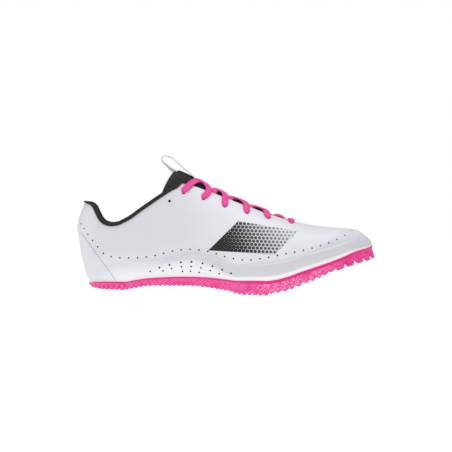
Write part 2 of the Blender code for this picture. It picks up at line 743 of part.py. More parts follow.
def make_laces():
    pink = plain_material("pink_lace", (0.90, 0.10, 0.38), 0.75)
    for k, (above, below) in enumerate(zip(EYELETS, EYELETS[1:])):
        strands = []
        for side in (-1, 1):
            bump = LACE_THICK * LACE_OVER if side < 0 else 0.0
            strands.append(loft(strand_rings(strand_knots(above, below, side), bump)))
        name = f"lace_crossing_{k + 1}"
        under = add_object(name, strands[1], pink)
        over = add_object(name + "_over", strands[0], pink)
        over.hide_render = True
        over.display_type = "WIRE"
        joined = under.modifiers.new("joined", "BOOLEAN")
        joined.operation = "UNION"
        joined.solver = "EXACT"
        joined.object = over
    bar = strand_rings([lace_hole(EYELETS[-1], -1), lace_hole(EYELETS[-1], 1)], 0.0)
    add_object("lace_bar", loft(bar), pink)


def make_pull_loop():
    """A ribbon that leaves the tongue's top edge, turns round and lands on its front."""
    top = tongue_point(1.0, 0.0001, 0.0)
    points = [top + Vector((-back * LOOP_REACH, 0.0, up * LOOP_REACH)) for back, up in LOOP_PATH]
    points.append(tongue_point(LOOP_LANDING, 0.0001, -GAP - LOOP_THICK / 2))
    rings = []
    for k, point in enumerate(points):
        run = (points[min(len(points) - 1, k + 1)] - points[max(0, k - 1)]).normalized()
        wide = Vector((0.0, LOOP_WIDTH / 2, 0.0))
        high = run.cross(Vector((0.0, 1.0, 0.0))).normalized() * LOOP_THICK / 2
        rings.append([point - wide - high, point + wide - high, point + wide + high,
                      point - wide + high])
    ribbon = plain_material("silver_ribbon", (0.75, 0.76, 0.80), 0.45)
    return add_object("pull_loop", loft(rings), ribbon)


def sole_rings_plan():
    """Walk round the sole's outline and set a ring at each tooth's foot and land."""
    fine = [k / 1200 for k in range(1201)]
    walked = [0.0]
    for before, after in zip(fine, fine[1:]):
        steps = [(outline_at(after, side) - outline_at(before, side)).length for side in (-1, 1)]
        walked.append(walked[-1] + sum(steps) / 2)
    turn_of = smooth_curve(walked, fine)
    plan_rows = []
    start = 0.0
    while start < walked[-1] - 0.0015:
        place = place_at(turn_of(start))
        zone = next((row for row in ZONES if place < row[0]), ZONES[-1])
        end, pitch, depth, land, groove, form = zone
        pitch = min(pitch, walked[-1] - start)
        plan_rows.append((turn_of(start), 0, depth, groove, form))
        if land > 0:
            plan_rows.append((turn_of(start + pitch * (1 - land) / 2), 1, depth, groove, form))
            plan_rows.append((turn_of(start + pitch * (1 + land) / 2), 1, depth, groove, form))
        else:
            plan_rows.append((turn_of(start + pitch / 2), 1, depth, groove, form))
        start += pitch
    plan_rows.append((1.0, 0, ZONES[-1][2], ZONES[-1][4], ZONES[-1][5]))
    return plan_rows


def sole_ring(turn, tooth, depth, groove, form):
    """One ring of the outsole, from the outer top edge under the sole to the inner one."""
    place = place_at(turn)
    top = feather_height(turn)
    tip = underside(turn)
    low = tip if tooth else min(top - RIM_HEIGHT - RIM_STEP, tip + depth)
    cut = 0.0 if tooth else groove
    middle = crest_y(turn)
    under_heel = Vector((HEEL_CHAMFER * max(0.0, 1 - place / 0.10), 0.0, 0.0))
    under_toe = Vector((TOE_BUMPER * max(0.0, (place - 0.90) / 0.10), 0.0, 0.0))
    sides = []
    for side in (-1, 1):
        here = outline_at(turn, side)
        out = outline_out(turn, side)
        shift = under_heel + under_toe
        edge = here + out * RIM
        shade = here + out * (RIM - RIM_STEP - cut) + shift * 0.3
        slant = SIDE_SLANT * (1 - ease((place - 0.90) / 0.08))
        foot = here + out * (RIM - RIM_STEP - slant - cut) + shift
        half = abs(foot.y - middle)
        depth_in = min(1.0, half / SIDE_BAND)
        bed = tip + depth if form == "edge" else low
        bed = low + (bed - low) * depth_in
        far = Vector((foot.x, middle + side * (half - min(SOLE_BORDER, 0.55 * half)), 0.0))
        points = [(edge, top), (edge, top - RIM_HEIGHT), (shade, top - RIM_HEIGHT - 0.0004),
                  (foot, low), (far, bed)]
        sides.append([Vector((p.x, p.y, z)) for p, z in points])
    centre = (sides[0][-1] + sides[1][-1]) / 2
    return [*sides[0], centre, *reversed(sides[1])]


def make_outsole():
    rings = [sole_ring(*row) for row in sole_rings_plan()]
    pink = plain_material("pink_plate", (0.92, 0.05, 0.42), 0.4)
    outsole = add_object("outsole", loft(rings), pink)
    mesh_data = bmesh.new()
    for place, across in WELLS:
        turn = turn_at(place)
        middle = crest_y(turn)
        edge = outline_at(turn, -1 if across < 0 else 1)
        y = middle + abs(across) * (edge.y - middle)
        slope = (underside(turn + 0.01) - underside(turn - 0.01))
        slope /= outline_at(turn + 0.01, 1).x - outline_at(turn - 0.01, 1).x
        turned = Matrix.Rotation(-math.atan(slope), 4, "Y")
        spot = Vector((edge.x, y, underside(turn)))
        matrix = Matrix.Translation(spot) @ turned
        bmesh.ops.create_cone(mesh_data, cap_ends=True, segments=12, radius1=SPIKE_WELL / 2,
                              radius2=SPIKE_WELL / 2, depth=SPIKE_WELL_DEPTH * 2, matrix=matrix)
    cutter = add_object("well_cutter", mesh_data, plain_material("cutter", (1, 0, 0), 1.0))
    cutter.hide_render = True
    cutter.display_type = "WIRE"
    wells = outsole.modifiers.new("spike wells", "BOOLEAN")
    wells.operation = "DIFFERENCE"
    wells.solver = "EXACT"
    wells.object = cutter
    return outsole


def main():
    for old in list(bpy.data.objects):
        bpy.data.objects.remove(old, do_unlink=True)
    turns = station_turns()
    make_upper(turns)
    make_midsole([turn for turn in turns if turn < FOAM_END])
    make_insole([turn for turn in turns if turn < INSOLE_END])
    make_outsole()
    make_tongue()
    make_collar_binding(turns)
    make_pull_loop()
    make_laces()


main()
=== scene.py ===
# %% [markdown]
# # A track spike shoe in the studio
#
# This notebook dresses the imported CAD model of a right shoe. The CAD solids give every size and
# place. The pieces made here have the same shapes with a finer mesh, and what the eye looks for:
# punched holes, woven laces, a printed fade, a ribbed plate.
#

# %% Load the frame
import math

import bmesh
import bpy
import numpy as np
from mathutils import Matrix, Vector


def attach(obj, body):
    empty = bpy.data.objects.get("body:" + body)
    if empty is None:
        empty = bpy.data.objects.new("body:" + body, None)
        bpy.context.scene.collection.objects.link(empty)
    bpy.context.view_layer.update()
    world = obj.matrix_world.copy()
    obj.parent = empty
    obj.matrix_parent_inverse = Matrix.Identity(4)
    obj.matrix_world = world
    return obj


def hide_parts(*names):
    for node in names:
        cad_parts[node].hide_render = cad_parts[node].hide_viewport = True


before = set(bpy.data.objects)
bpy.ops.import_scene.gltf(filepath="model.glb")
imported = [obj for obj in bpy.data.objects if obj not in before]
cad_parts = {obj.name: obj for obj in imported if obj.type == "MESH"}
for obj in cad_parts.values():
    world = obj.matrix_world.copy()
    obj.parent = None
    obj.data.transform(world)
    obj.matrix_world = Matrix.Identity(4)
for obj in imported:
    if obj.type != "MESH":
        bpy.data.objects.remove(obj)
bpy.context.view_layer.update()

# %% [markdown]
# ## Camera
#
# The shoe is seen squarely from its outer side with a long lens, so lines that go away from the
# camera hardly meet. A long lens far away does the same here. The photograph is turned by two
# degrees: its floor falls to the right. The camera is rolled by that angle, and the shoe isn't
# moved.

# %% Camera
FRAME_WIDTH = 0.3969          # what the picture is wide at the shoe, in metres
VIEW_CENTRE = Vector((-0.0007, 0.0, 0.0589))
VIEW_DISTANCE = 3.6
VIEW_RISE = math.radians(0.7)
VIEW_ROLL = math.radians(2.09)
SENSOR = 36.0


def new_object(name, data):
    item = bpy.data.objects.new(name, data)
    bpy.context.scene.collection.objects.link(item)
    return item


def place_camera():
    data = bpy.data.cameras.new("photo_camera")
    data.sensor_width = SENSOR
    data.lens = SENSOR * VIEW_DISTANCE / FRAME_WIDTH
    data.clip_end = 50.0
    camera = new_object("photo_camera", data)
    forward = Vector((0.0, math.cos(VIEW_RISE), -math.sin(VIEW_RISE)))
    level_right = Vector((1.0, 0.0, 0.0))
    level_up = level_right.cross(forward)
    right = level_right * math.cos(VIEW_ROLL) + level_up * math.sin(VIEW_ROLL)
    up = level_up * math.cos(VIEW_ROLL) - level_right * math.sin(VIEW_ROLL)
    turned = Matrix((right, up, -forward)).transposed().to_4x4()
    spot = VIEW_CENTRE - forward * VIEW_DISTANCE
    camera.matrix_world = Matrix.Translation(spot) @ turned
    bpy.context.scene.camera = camera
    return camera


camera = place_camera()
print("lens:", round(camera.data.lens, 1), "mm")

# %% [markdown]
# ## Studio
#
# The picture has a white ground with no shadow. A white floor that glows a little stays white
# under the shoe. The world is white where the camera sees it, and softer where it lights the
# shoe, so that a large lamp overhead can still shape the upper. `Standard` keeps white at white.

# %% Studio
FLOOR_SIZE = 9.0
FLOOR_GLOW = 0.97
WORLD_FILL = 0.40


def colour(red, green, blue):
    """A colour on the 0 to 255 scale of a screen, as the linear values that shaders use."""
    linear = []
    for value in (red, green, blue):
        share = value / 255
        linear.append(share / 12.92 if share <= 0.04045 else ((share + 0.055) / 1.055) ** 2.4)
    return (*linear, 1.0)


def area_light(name, spot, target, size, power):
    data = bpy.data.lights.new(name, "AREA")
    data.shape = "RECTANGLE"
    data.size, data.size_y = size
    data.energy = power
    lamp = new_object(name, data)
    lamp.location = spot
    direction = Vector(target) - Vector(spot)
    lamp.rotation_euler = direction.to_track_quat("-Z", "Y").to_euler()


def make_world():
    world = bpy.data.worlds.new("white_studio")
    bpy.context.scene.world = world
    world.use_nodes = True
    tree = world.node_tree
    ground = tree.nodes["Background"]
    ground.inputs["Color"].default_value = (0.97, 0.985, 1.0, 1.0)
    ground.inputs["Strength"].default_value = WORLD_FILL
    seen = tree.nodes.new("ShaderNodeBackground")
    seen.inputs["Color"].default_value = (1.0, 1.0, 1.0, 1.0)
    path = tree.nodes.new("ShaderNodeLightPath")
    mixed = tree.nodes.new("ShaderNodeMixShader")
    tree.links.new(path.outputs["Is Camera Ray"], mixed.inputs[0])
    tree.links.new(ground.outputs[0], mixed.inputs[1])
    tree.links.new(seen.outputs[0], mixed.inputs[2])
    tree.links.new(mixed.outputs[0], tree.nodes["World Output"].inputs["Surface"])


def make_floor():
    half = FLOOR_SIZE / 2
    mesh = bpy.data.meshes.new("floor")
    mesh.from_pydata([(-half, -half, 0), (half, -half, 0), (half, half, 0), (-half, half, 0)],
                     [], [(0, 1, 2, 3)])
    floor = new_object("floor", mesh)
    material = bpy.data.materials.new("white_floor")
    material.use_nodes = True
    shader = material.node_tree.nodes["Principled BSDF"]
    shader.inputs["Base Color"].default_value = (0.18, 0.18, 0.18, 1.0)
    shader.inputs["Roughness"].default_value = 0.9
    shader.inputs["Emission Color"].default_value = (1.0, 1.0, 1.0, 1.0)
    shader.inputs["Emission Strength"].default_value = FLOOR_GLOW
    mesh.materials.append(material)


bpy.context.scene.view_settings.view_transform = "Standard"
make_world()
make_floor()
# name, place, what it points at, size, power
for lamp in [("overhead", (0.05, -0.25, 1.5), (0, 0, 0.05), (1.6, 1.2), 15.0),
             ("front", (-0.3, -1.7, 0.75), (0, 0, 0.05), (1.2, 0.8), 2.4),
             ("heel_side", (-1.5, -0.9, 0.6), (-0.05, 0, 0.04), (0.8, 0.8), 1.4)]:
    area_light(*lamp)

# %% [markdown]
# ## Shader maths as Python
#
# A socket of a material is wrapped in a small class, so that `1 - mask` or `height * 0.2` adds the
# Math nodes by itself. Every other node comes from `Finish.node`, which takes the node's type,
# its settings and its inputs.

# %% Shader helpers
class Socket:
    """An output in a material that Python expressions can work on."""

    def __init__(self, finish, output):
        self.finish = finish
        self.output = output

    def combine(self, operation, first, second):
        return self.finish.node("Math", {"operation": operation}, {0: first, 1: second})

    def __add__(self, other):
        return self.combine("ADD", self, other)

    def __sub__(self, other):
        return self.combine("SUBTRACT", self, other)

    def __rsub__(self, other):
        return self.combine("SUBTRACT", other, self)

    def __mul__(self, other):
        return self.combine("MULTIPLY", self, other)

    def __truediv__(self, other):
        return self.combine("DIVIDE", self, other)

    def __abs__(self):
        return self.combine("ABSOLUTE", self, 0.0)

    __radd__ = __add__
    __rmul__ = __mul__

    def wave(self):
        return self.combine("SINE", self, 0.0)

    def lower(self, other):
        return self.combine("MINIMUM", self, other)

    def higher(self, other):
        return self.combine("MAXIMUM", self, other)

    def wrap(self, low, high):
        return self.finish.node("Math", {"operation": "WRAP"}, {0: self, 1: high, 2: low})

    def rise(self, low, high):
        """0 below low, 1 above high, and soft between."""
        settings = {"interpolation_type": "SMOOTHSTEP"}
        return self.finish.node("MapRange", settings, {0: self, 1: low, 2: high, 3: 0.0, 4: 1.0})

    def fall(self, low, high):
        return 1 - self.rise(low, high)


class Finish:
    """A material under construction."""

    def __init__(self, name, base, **constants):
        self.material = bpy.data.materials.new(name)
        self.material.use_nodes = True
        self.tree = self.material.node_tree
        self.shader = self.tree.nodes["Principled BSDF"]
        self.set("Base Color", base)
        for key, value in constants.items():
            self.set(key.replace("_", " ").title().replace("Ior", "IOR"), value)

    def feed(self, socket, value):
        if isinstance(value, Socket):
            self.tree.links.new(value.output, socket)
        else:
            socket.default_value = value

    def set(self, name, value):
        """Feeds an input of the shader itself."""
        self.feed(self.shader.inputs[name], value)

    def node(self, kind, settings=None, inputs=None, output=0):
        made = self.tree.nodes.new("ShaderNode" + kind)
        for key, value in (settings or {}).items():
            setattr(made, key, value)
        for key, value in (inputs or {}).items():
            self.feed(made.inputs[key], value)
        return Socket(self, made.outputs[output])

    def parts(self, vector):
        """The three numbers of a vector."""
        split = self.node("SeparateXYZ", inputs={0: vector}).output.node
        return [Socket(self, split.outputs[k]) for k in range(3)]

    def place(self):
        """Where on the shoe a spot lies, in metres."""
        return self.parts(self.node("TexCoord", output="Object"))

    def uv_map(self, name):
        return self.parts(self.node("UVMap", {"uv_map": name}))[:2]

    def mix(self, factor, first, second):
        return self.node("Mix", {"data_type": "RGBA"}, {0: factor, 6: first, 7: second}, 2)

    def noise(self, scale, detail=2.0):
        spot = self.node("TexCoord", output="Object")
        return self.node("TexNoise", inputs={"Vector": spot, "Scale": scale, "Detail": detail})

    def bump(self, height, distance, strength=1.0, below=None):
        inputs = {"Height": height, "Distance": distance, "Strength": strength}
        if below is not None:
            inputs["Normal"] = below
        normal = self.node("Bump", inputs=inputs)
        self.set("Normal", normal)
        return normal


print("shader helpers ready")

# %% [markdown]
# ## The last's surface
#
# A shoe is built over a last, a solid foot form. Everything here lies on one surface, the skin of
# that last, so it is written once as a function. Two numbers find a spot on it. `around` goes
# from the toe (-1) along the outer side to the heel (0) and back along the inner side to the toe
# (1). `angle` climbs from the foot of the wall (0) to the ridge on top (a quarter turn).
#
# The tables hold shares of the named sizes, read at stations along the shoe.

# %% Sizes of the last
LENGTH = 0.262
AXIS_SHIFT = -0.0017
TOE_BUMPER = 0.0029
UPPER_LENGTH = LENGTH - TOE_BUMPER
BALL_WIDTH = 0.084
INSTEP_HEIGHT = 0.108
HEEL_HEIGHT = 0.0773
HEEL_LEAN = 0.0126
HEEL_SHARE = 0.35
TOE_SPRING = 0.0370
PLATE = 0.0130
WEDGE = 0.0185
GAP = 0.0003
LEDGE_STEP = 0.0012
LEDGE_SOFT = 0.0026
LEDGE_IN = (0.03, 0.09)       # where the step grows at the heel: its start and how long it takes
LEDGE_OUT = (0.90, 0.085)     # and where it fades at the toe
BINDING = 0.0008
THROAT_HALF = 0.0140
THROAT_PLACE = 0.748
THROAT_ROUND = 0.0060
CORNER = (0.325, 0.360)       # where the collar's edge turns into the throat's edge

# place, outer, inner, crest, tuck_outer, tuck_inner, fullness
PLAN = [
    (0.00, 0.000, 0.000, 0.000, 0.12, 0.12, 2.70), (0.02, 0.167, 0.155, 0.000, 0.12, 0.12, 2.70),
    (0.06, 0.262, 0.250, 0.000, 0.12, 0.12, 2.70), (0.12, 0.327, 0.315, 0.000, 0.12, 0.12, 2.65),
    (0.20, 0.357, 0.339, 0.000, 0.12, 0.13, 2.55), (0.30, 0.363, 0.333, 0.004, 0.13, 0.19, 2.30),
    (0.40, 0.369, 0.315, 0.006, 0.13, 0.24, 2.10), (0.50, 0.405, 0.327, 0.006, 0.11, 0.20, 2.15),
    (0.58, 0.452, 0.381, 0.012, 0.08, 0.12, 2.25), (0.64, 0.482, 0.435, 0.018, 0.06, 0.08, 2.35),
    (0.70, 0.482, 0.488, 0.036, 0.05, 0.05, 2.45), (0.76, 0.452, 0.518, 0.060, 0.05, 0.05, 2.50),
    (0.82, 0.393, 0.512, 0.083, 0.05, 0.05, 2.50), (0.88, 0.298, 0.476, 0.113, 0.05, 0.05, 2.45),
    (0.93, 0.200, 0.435, 0.138, 0.05, 0.05, 2.40), (0.97, 0.070, 0.355, 0.148, 0.04, 0.04, 2.30),
    (1.00, -0.152, 0.152, 0.152, 0.04, 0.04, 2.20),
]
# place, height of the ridge
CREST = [
    (0.000, 1.000), (0.216, 1.000), (0.282, 0.993), (0.328, 0.968), (0.394, 0.903),
    (0.463, 0.830), (0.564, 0.730), (0.668, 0.644), (0.737, 0.602), (0.800, 0.577),
    (0.868, 0.565), (0.924, 0.560), (0.951, 0.548), (0.978, 0.509), (0.996, 0.470),
    (1.000, 0.433),
]
# place, underside, plate
SOLE = [
    (0.000, 0.030, 0.305), (0.008, 0.026, 0.322), (0.030, 0.016, 0.415), (0.050, 0.005, 0.477),
    (0.075, 0.000, 0.525), (0.150, 0.000, 0.570), (0.200, 0.055, 0.570), (0.250, 0.108, 0.577),
    (0.350, 0.138, 0.654), (0.400, 0.146, 0.662), (0.470, 0.103, 0.754), (0.520, 0.057, 0.800),
    (0.560, 0.000, 0.935), (0.640, 0.000, 0.995), (0.680, 0.049, 0.977), (0.720, 0.116, 1.030),
    (0.760, 0.246, 0.985), (0.820, 0.422, 0.923), (0.880, 0.622, 0.815), (0.950, 0.827, 0.846),
    (1.000, 1.000, 0.754),
]
# place, side of the foam
FOAM = [
    (0.000, 0.700), (0.070, 0.745), (0.185, 0.800), (0.240, 0.720), (0.290, 0.810),
    (0.394, 1.000), (0.438, 0.980), (0.521, 0.735), (0.550, 0.690), (0.600, 0.730),
    (0.660, 0.805), (0.737, 0.757), (0.818, 0.690), (0.876, 0.654), (0.917, 0.610),
    (0.950, 0.400), (1.000, 0.200),
]
# height, lean of the heel's profile
HEEL = [
    (0.00, 1.08), (0.065, 1.00), (0.153, 0.72), (0.243, 0.55), (0.378, 0.33), (0.547, 0.14),
    (0.683, 0.00), (0.776, 0.08), (0.855, 0.21), (0.978, 0.46), (1.100, 0.62), (1.500, 0.90),
]
# along, height of the collar's edge
COLLAR = [
    (0.020, 1.000), (0.045, 0.985), (0.058, 0.950), (0.069, 0.880), (0.081, 0.812),
    (0.096, 0.773), (0.115, 0.760), (0.134, 0.770), (0.154, 0.803), (0.175, 0.845),
    (0.207, 0.930), (0.240, 1.015), (0.280, 1.115), (0.312, 1.187), (0.335, 1.222),
    (0.360, 1.245),
]
# place, half width of the throat
THROAT = [
    (0.320, 1.04), (0.354, 0.95), (0.394, 0.82), (0.428, 0.76), (0.486, 0.68),
    (0.548, 0.62), (0.594, 0.58), (0.652, 0.52), (0.700, 0.46), (THROAT_PLACE, 0.43),
]

# %% Curves through the tables
def ease(value):
    value = np.clip(value, 0.0, 1.0)
    return value * value * (3 - 2 * value)


def turn_at(place):
    return np.arccos(1 - 2 * np.clip(place, 0.0, 1.0)) / np.pi


def place_at(around):
    return (1 - np.cos(np.pi * np.asarray(around))) / 2


def side_of(value):
    """-1 on the outer side and 1 on the inner side."""
    return np.where(value < 0, -1.0, 1.0)


def turn_over(x):
    """The share of the way round, from heel to toe, that belongs to this X."""
    return turn_at((x + LENGTH / 2) / UPPER_LENGTH)


class SmoothCurve:
    """A curve through points that never swings past them."""

    def __init__(self, xs, ys):
        self.xs = np.array(xs, float)
        self.ys = np.array(ys, float)
        self.steps = np.diff(self.xs)
        rises = np.diff(self.ys) / self.steps
        slopes = [rises[0]]
        for before, after in zip(rises, rises[1:]):
            flat = before * after <= 0
            slopes.append(0.0 if flat else 2 * before * after / (before + after))
        slopes.append(rises[-1])
        self.slopes = np.array(slopes)

    def __call__(self, x):
        x = np.clip(x, self.xs[0], self.xs[-1])
        k = np.clip(np.searchsorted(self.xs, x, side="right") - 1, 0, len(self.steps) - 1)
        step = self.steps[k]
        s = (x - self.xs[k]) / step
        start = (1 + 2 * s) * (1 - s) ** 2 * self.ys[k] + s * (1 - s) ** 2 * self.slopes[k] * step
        end = s * s * (3 - 2 * s) * self.ys[k + 1] + s * s * (s - 1) * self.slopes[k + 1] * step
        return start + end


def columns_at(walked, table, marks):
    """Each column of a table of points, read at these distances along its line."""
    return [SmoothCurve(walked, column)(marks) for column in table.T]


def curve_of(rows, column, key=turn_at):
    return SmoothCurve([float(key(row[0])) for row in rows], [row[column] for row in rows])


outer_half, inner_half, crest_share, tuck_outer, tuck_inner, fullness = [
    curve_of(PLAN, column) for column in range(1, 7)]
ridge = curve_of(CREST, 1)
sole_low = curve_of(SOLE, 1)
sole_plate = curve_of(SOLE, 2)
foam_side = curve_of(FOAM, 1)
heel_lean = curve_of(HEEL, 1, float)
collar_height = curve_of(COLLAR, 1, float)
throat_share = curve_of(THROAT, 1, float)
print("curves ready")

# %% The skin of the last
SKIN_STEP = 0.004


def underside(turn):
    return sole_low(turn) * TOE_SPRING


def feather_height(turn):
    return underside(turn) + sole_plate(turn) * PLATE


def ledge_height(turn):
    return feather_height(turn) + foam_side(turn) * WEDGE


def crest_y(turn):
    return AXIS_SHIFT + crest_share(turn) * BALL_WIDTH


def wrapped(around):
    return (np.asarray(around, float) + 1) % 2 - 1


def last_point(around, angle):
    """A point of the last for each pair of `around` and `angle`."""
    around = wrapped(around)
    side = side_of(around)
    turn = np.abs(around)
    place = place_at(turn)
    foot = feather_height(turn) + GAP
    rise = np.maximum(0.0, ridge(turn) * INSTEP_HEIGHT - foot)
    power = 2 / fullness(turn)
    height = foot + rise * np.maximum(0.0, np.sin(angle)) ** power
    middle = crest_y(turn)
    half = np.where(side < 0, outer_half(turn), inner_half(turn))
    edge = AXIS_SHIFT + half * BALL_WIDTH * side
    tuck = np.where(side < 0, tuck_outer(turn), tuck_inner(turn))
    spread = np.maximum(0.0, np.cos(angle)) ** power * (1 - tuck * (1 - np.sin(angle)) ** 3)
    fade = ease((place - LEDGE_IN[0]) / LEDGE_IN[1])
    fade = fade * (1 - ease((place - LEDGE_OUT[0]) / LEDGE_OUT[1]))
    below = ease((ledge_height(turn) - height) / LEDGE_SOFT + 0.5)
    across = middle + (edge - middle) * spread + side * LEDGE_STEP * fade * below
    lean = heel_lean(height / HEEL_HEIGHT) * HEEL_LEAN
    along = -LENGTH / 2 + UPPER_LENGTH * place
    along = along + lean * np.maximum(0.0, 1 - place / HEEL_SHARE) ** 2
    return np.stack([along, across, height], axis=-1)


def skin_ways(around, angle):
    """The skin's two directions, round the shoe and up the wall, for one unit of each number."""
    low = np.maximum(0.0, np.asarray(angle) - SKIN_STEP)
    high = np.minimum(np.pi / 2, np.asarray(angle) + SKIN_STEP)
    up = last_point(around, high) - last_point(around, low)
    round_way = last_point(around + SKIN_STEP, angle) - last_point(around - SKIN_STEP, angle)
    return round_way / (2 * SKIN_STEP), up / (2 * SKIN_STEP)


def outward(around, angle):
    round_way, up = skin_ways(np.asarray(around, float), angle)
    normal = -np.cross(round_way, up)
    length = np.linalg.norm(normal, axis=-1, keepdims=True)
    tip = np.zeros_like(normal)
    tip[..., 0] = 1.0
    at_tip = (np.abs(wrapped(around)) > 0.9999)[..., None] | (length < 1e-12)
    return np.where(at_tip, tip, normal / np.maximum(length, 1e-12))


def skin(around, angle, lift=0.0):
    """A point at a height over the last's skin. A lift below zero goes inside."""
    lift = np.asarray(lift, float)[..., None]
    return last_point(around, angle) + outward(around, angle) * lift


def solve_angle(passed, around):
    """The angle at which a rising test first holds, for each `around`."""
    low = np.zeros_like(np.asarray(around, float))
    high = low + np.pi / 2
    for _ in range(36):
        middle = (low + high) / 2
        hit = passed(middle)
        high = np.where(hit, middle, high)
        low = np.where(hit, low, middle)
    return high


def angle_at_breadth(around, breadth):
    middle = crest_y(np.abs(wrapped(around)))
    return solve_angle(lambda angle: abs(last_point(around, angle)[..., 1] - middle) <= breadth,
                       around)


def angle_at_height(around, height):
    return solve_angle(lambda angle: last_point(around, angle)[..., 2] >= height, around)


def throat_half(place):
    left = (THROAT_PLACE - place) * UPPER_LENGTH
    near = 1 - np.clip(left / THROAT_ROUND, 0.0, 1.0)
    return throat_share(place) * THROAT_HALF * np.sqrt(np.maximum(0.0, 1 - near * near))


def edge_angle(around):
    """The angle of the opening's edge: the collar behind, the throat in front."""
    around = np.asarray(around, float)
    place = place_at(around)

    def over_collar(angle):
        point = last_point(around, angle)
        edge = collar_height((point[..., 0] + LENGTH / 2) / LENGTH) * HEEL_HEIGHT
        return point[..., 2] >= edge - BINDING - GAP

    behind = solve_angle(over_collar, around)
    in_front = angle_at_breadth(around, throat_half(place))
    share = ease((place - CORNER[0]) / (CORNER[1] - CORNER[0]))
    share = np.where(place < CORNER[0], 0.0, share)
    angle = behind + (in_front - behind) * share
    return np.where(place >= THROAT_PLACE, np.pi / 2, angle)


def slide(around, angle, move):
    """Where a short move along the skin leads to."""
    around = np.array(around, float)
    angle = np.array(angle, float)
    target = last_point(around, angle) + move
    for _ in range(5):
        left = target - last_point(around, angle)
        round_way, up = skin_ways(around, angle)
        a = (round_way * round_way).sum(-1)
        b = (round_way * up).sum(-1)
        c = (up * up).sum(-1)
        det = np.maximum(a * c - b * b, 1e-14)
        p = (left * round_way).sum(-1)
        q = (left * up).sum(-1)
        around = around + (p * c - q * b) / det
        angle = np.clip(angle + (q * a - p * b) / det, 0.0, np.pi / 2)
    return around, angle


def find_spot(side, x, z):
    """The spot on one side of the shoe with this X and Z."""
    x = np.asarray(x, float)
    z = np.asarray(z, float)
    turn = turn_over(x)
    for _ in range(8):
        angle = angle_at_height(side * turn, z)
        here = last_point(side * turn, angle)[..., 0]
        ahead = last_point(side * (turn + SKIN_STEP), angle)[..., 0]
        turn = np.clip(turn + (x - here) / ((ahead - here) / SKIN_STEP), 0.004, 0.995)
    return side * turn, angle_at_height(side * turn, z)


check = last_point(np.array([-0.5, 0.0, 0.5]), np.array([0.5, 0.5, 0.5]))
print("skin samples, mm:", np.round(check * 1000, 1).tolist())

# %% [markdown]
# ## Mesh helpers
#
# Nearly every piece is a grid of points, open or closed on itself. One helper turns such a grid
# into a mesh. `Sweep` collects closed rings, such as the sections of a lace, and writes a UV map
# that counts along and across the piece in metres, so that a weave follows a bent lace.

# %% Mesh helpers
def link_piece(name, mesh, materials):
    piece = new_object(name, mesh)
    for material in materials:
        mesh.materials.append(material)
    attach(piece, "root")
    return piece


def grid_quads(rows, columns, closed_columns=False, start=0):
    """Corner numbers of the quads between points that were numbered row by row."""
    last = columns if closed_columns else columns - 1
    i, j = np.meshgrid(np.arange(rows - 1) * columns, np.arange(last), indexing="ij")
    j2 = (j + 1) % columns
    corners = [i + j, i + columns + j, i + columns + j2, i + j2]
    return np.stack(corners, axis=-1).reshape(-1, 4) + start


def smooth_mesh(work, mesh, sharp=None):
    """Turns the faces outward and writes them as a mesh, smooth between its sharp edges."""
    bmesh.ops.recalc_face_normals(work, faces=work.faces)
    work.to_mesh(mesh)
    work.free()
    mesh.shade_smooth()
    if sharp:
        mesh.set_sharp_from_angle(angle=math.radians(sharp))
    return mesh


def welded(mesh, points, quads, near, short):
    """The quads as one skin, with close points joined and short edges taken out."""
    mesh.from_pydata(points.reshape(-1, 3).tolist(), [], quads.tolist())
    work = bmesh.new()
    work.from_mesh(mesh)
    bmesh.ops.remove_doubles(work, verts=work.verts, dist=near)
    bmesh.ops.dissolve_degenerate(work, edges=work.edges, dist=short)
    return work


def values_of(items, key):
    """A three-number value of every item of a mesh, as rows."""
    values = np.zeros(len(items) * 3)
    items.foreach_get(key, values)
    return values.reshape(-1, 3)


def standing_on(spot, axis):
    """The matrix that stands a thing on a spot, with its Z along the axis."""
    return Matrix.Translation(spot) @ axis.to_track_quat("Z", "Y").to_matrix().to_4x4()


class Sweep:
    """Collects closed rings of points as one mesh, with lengths along and across as its UV map."""

    def __init__(self):
        self.points = []
        self.faces = []
        self.uvs = []
        self.count = 0

    def add(self, rings, along, across):
        rings = np.asarray(rings)
        rows, columns = rings.shape[:2]
        quads = grid_quads(rows, columns, closed_columns=True, start=self.count)
        self.points.append(rings.reshape(-1, 3))
        self.faces.extend(quads.tolist())
        wide = np.append(across, across[0])
        for i in range(rows - 1):
            for j in range(columns):
                corners = ((i, j), (i + 1, j), (i + 1, j + 1), (i, j + 1))
                self.uvs.extend((along[a], wide[b]) for a, b in corners)
        for row in (0, rows - 1):
            first = self.count + row * columns
            self.faces.append(list(range(first, first + columns)))
            self.uvs.extend((along[row], value) for value in across)
        self.count += rows * columns

    def mesh(self, name, sharp=50.0):
        mesh = bpy.data.meshes.new(name)
        mesh.from_pydata(np.concatenate(self.points).tolist(), [], self.faces)
        layer = mesh.uv_layers.new(name="weave")
        layer.data.foreach_set("uv", np.array(self.uvs, float).ravel())
        work = bmesh.new()
        work.from_mesh(mesh)
        return smooth_mesh(work, mesh, sharp)


def swept_piece(name, rings, along, across, material):
    sweep = Sweep()
    sweep.add(rings, along, across)
    return link_piece(name, sweep.mesh(name), [material])


def unit(vectors):
    return vectors / np.maximum(np.linalg.norm(vectors, axis=-1, keepdims=True), 1e-12)


def runs_along(points):
    """Unit directions along a line of points."""
    return unit(np.gradient(points, axis=0))


def steps_of(points):
    return np.linalg.norm(np.diff(points, axis=0), axis=1)


def walked_along(points):
    """How far along the line each of its points lies."""
    return np.append(0.0, np.cumsum(steps_of(points)))


def softened(points, rounds):
    """The line with softer bends and the same ends."""
    for _ in range(rounds):
        inner = (points[:-2] + points[1:-1] * 2 + points[2:]) / 4
        points = np.concatenate([points[:1], inner, points[-1:]])
    return points


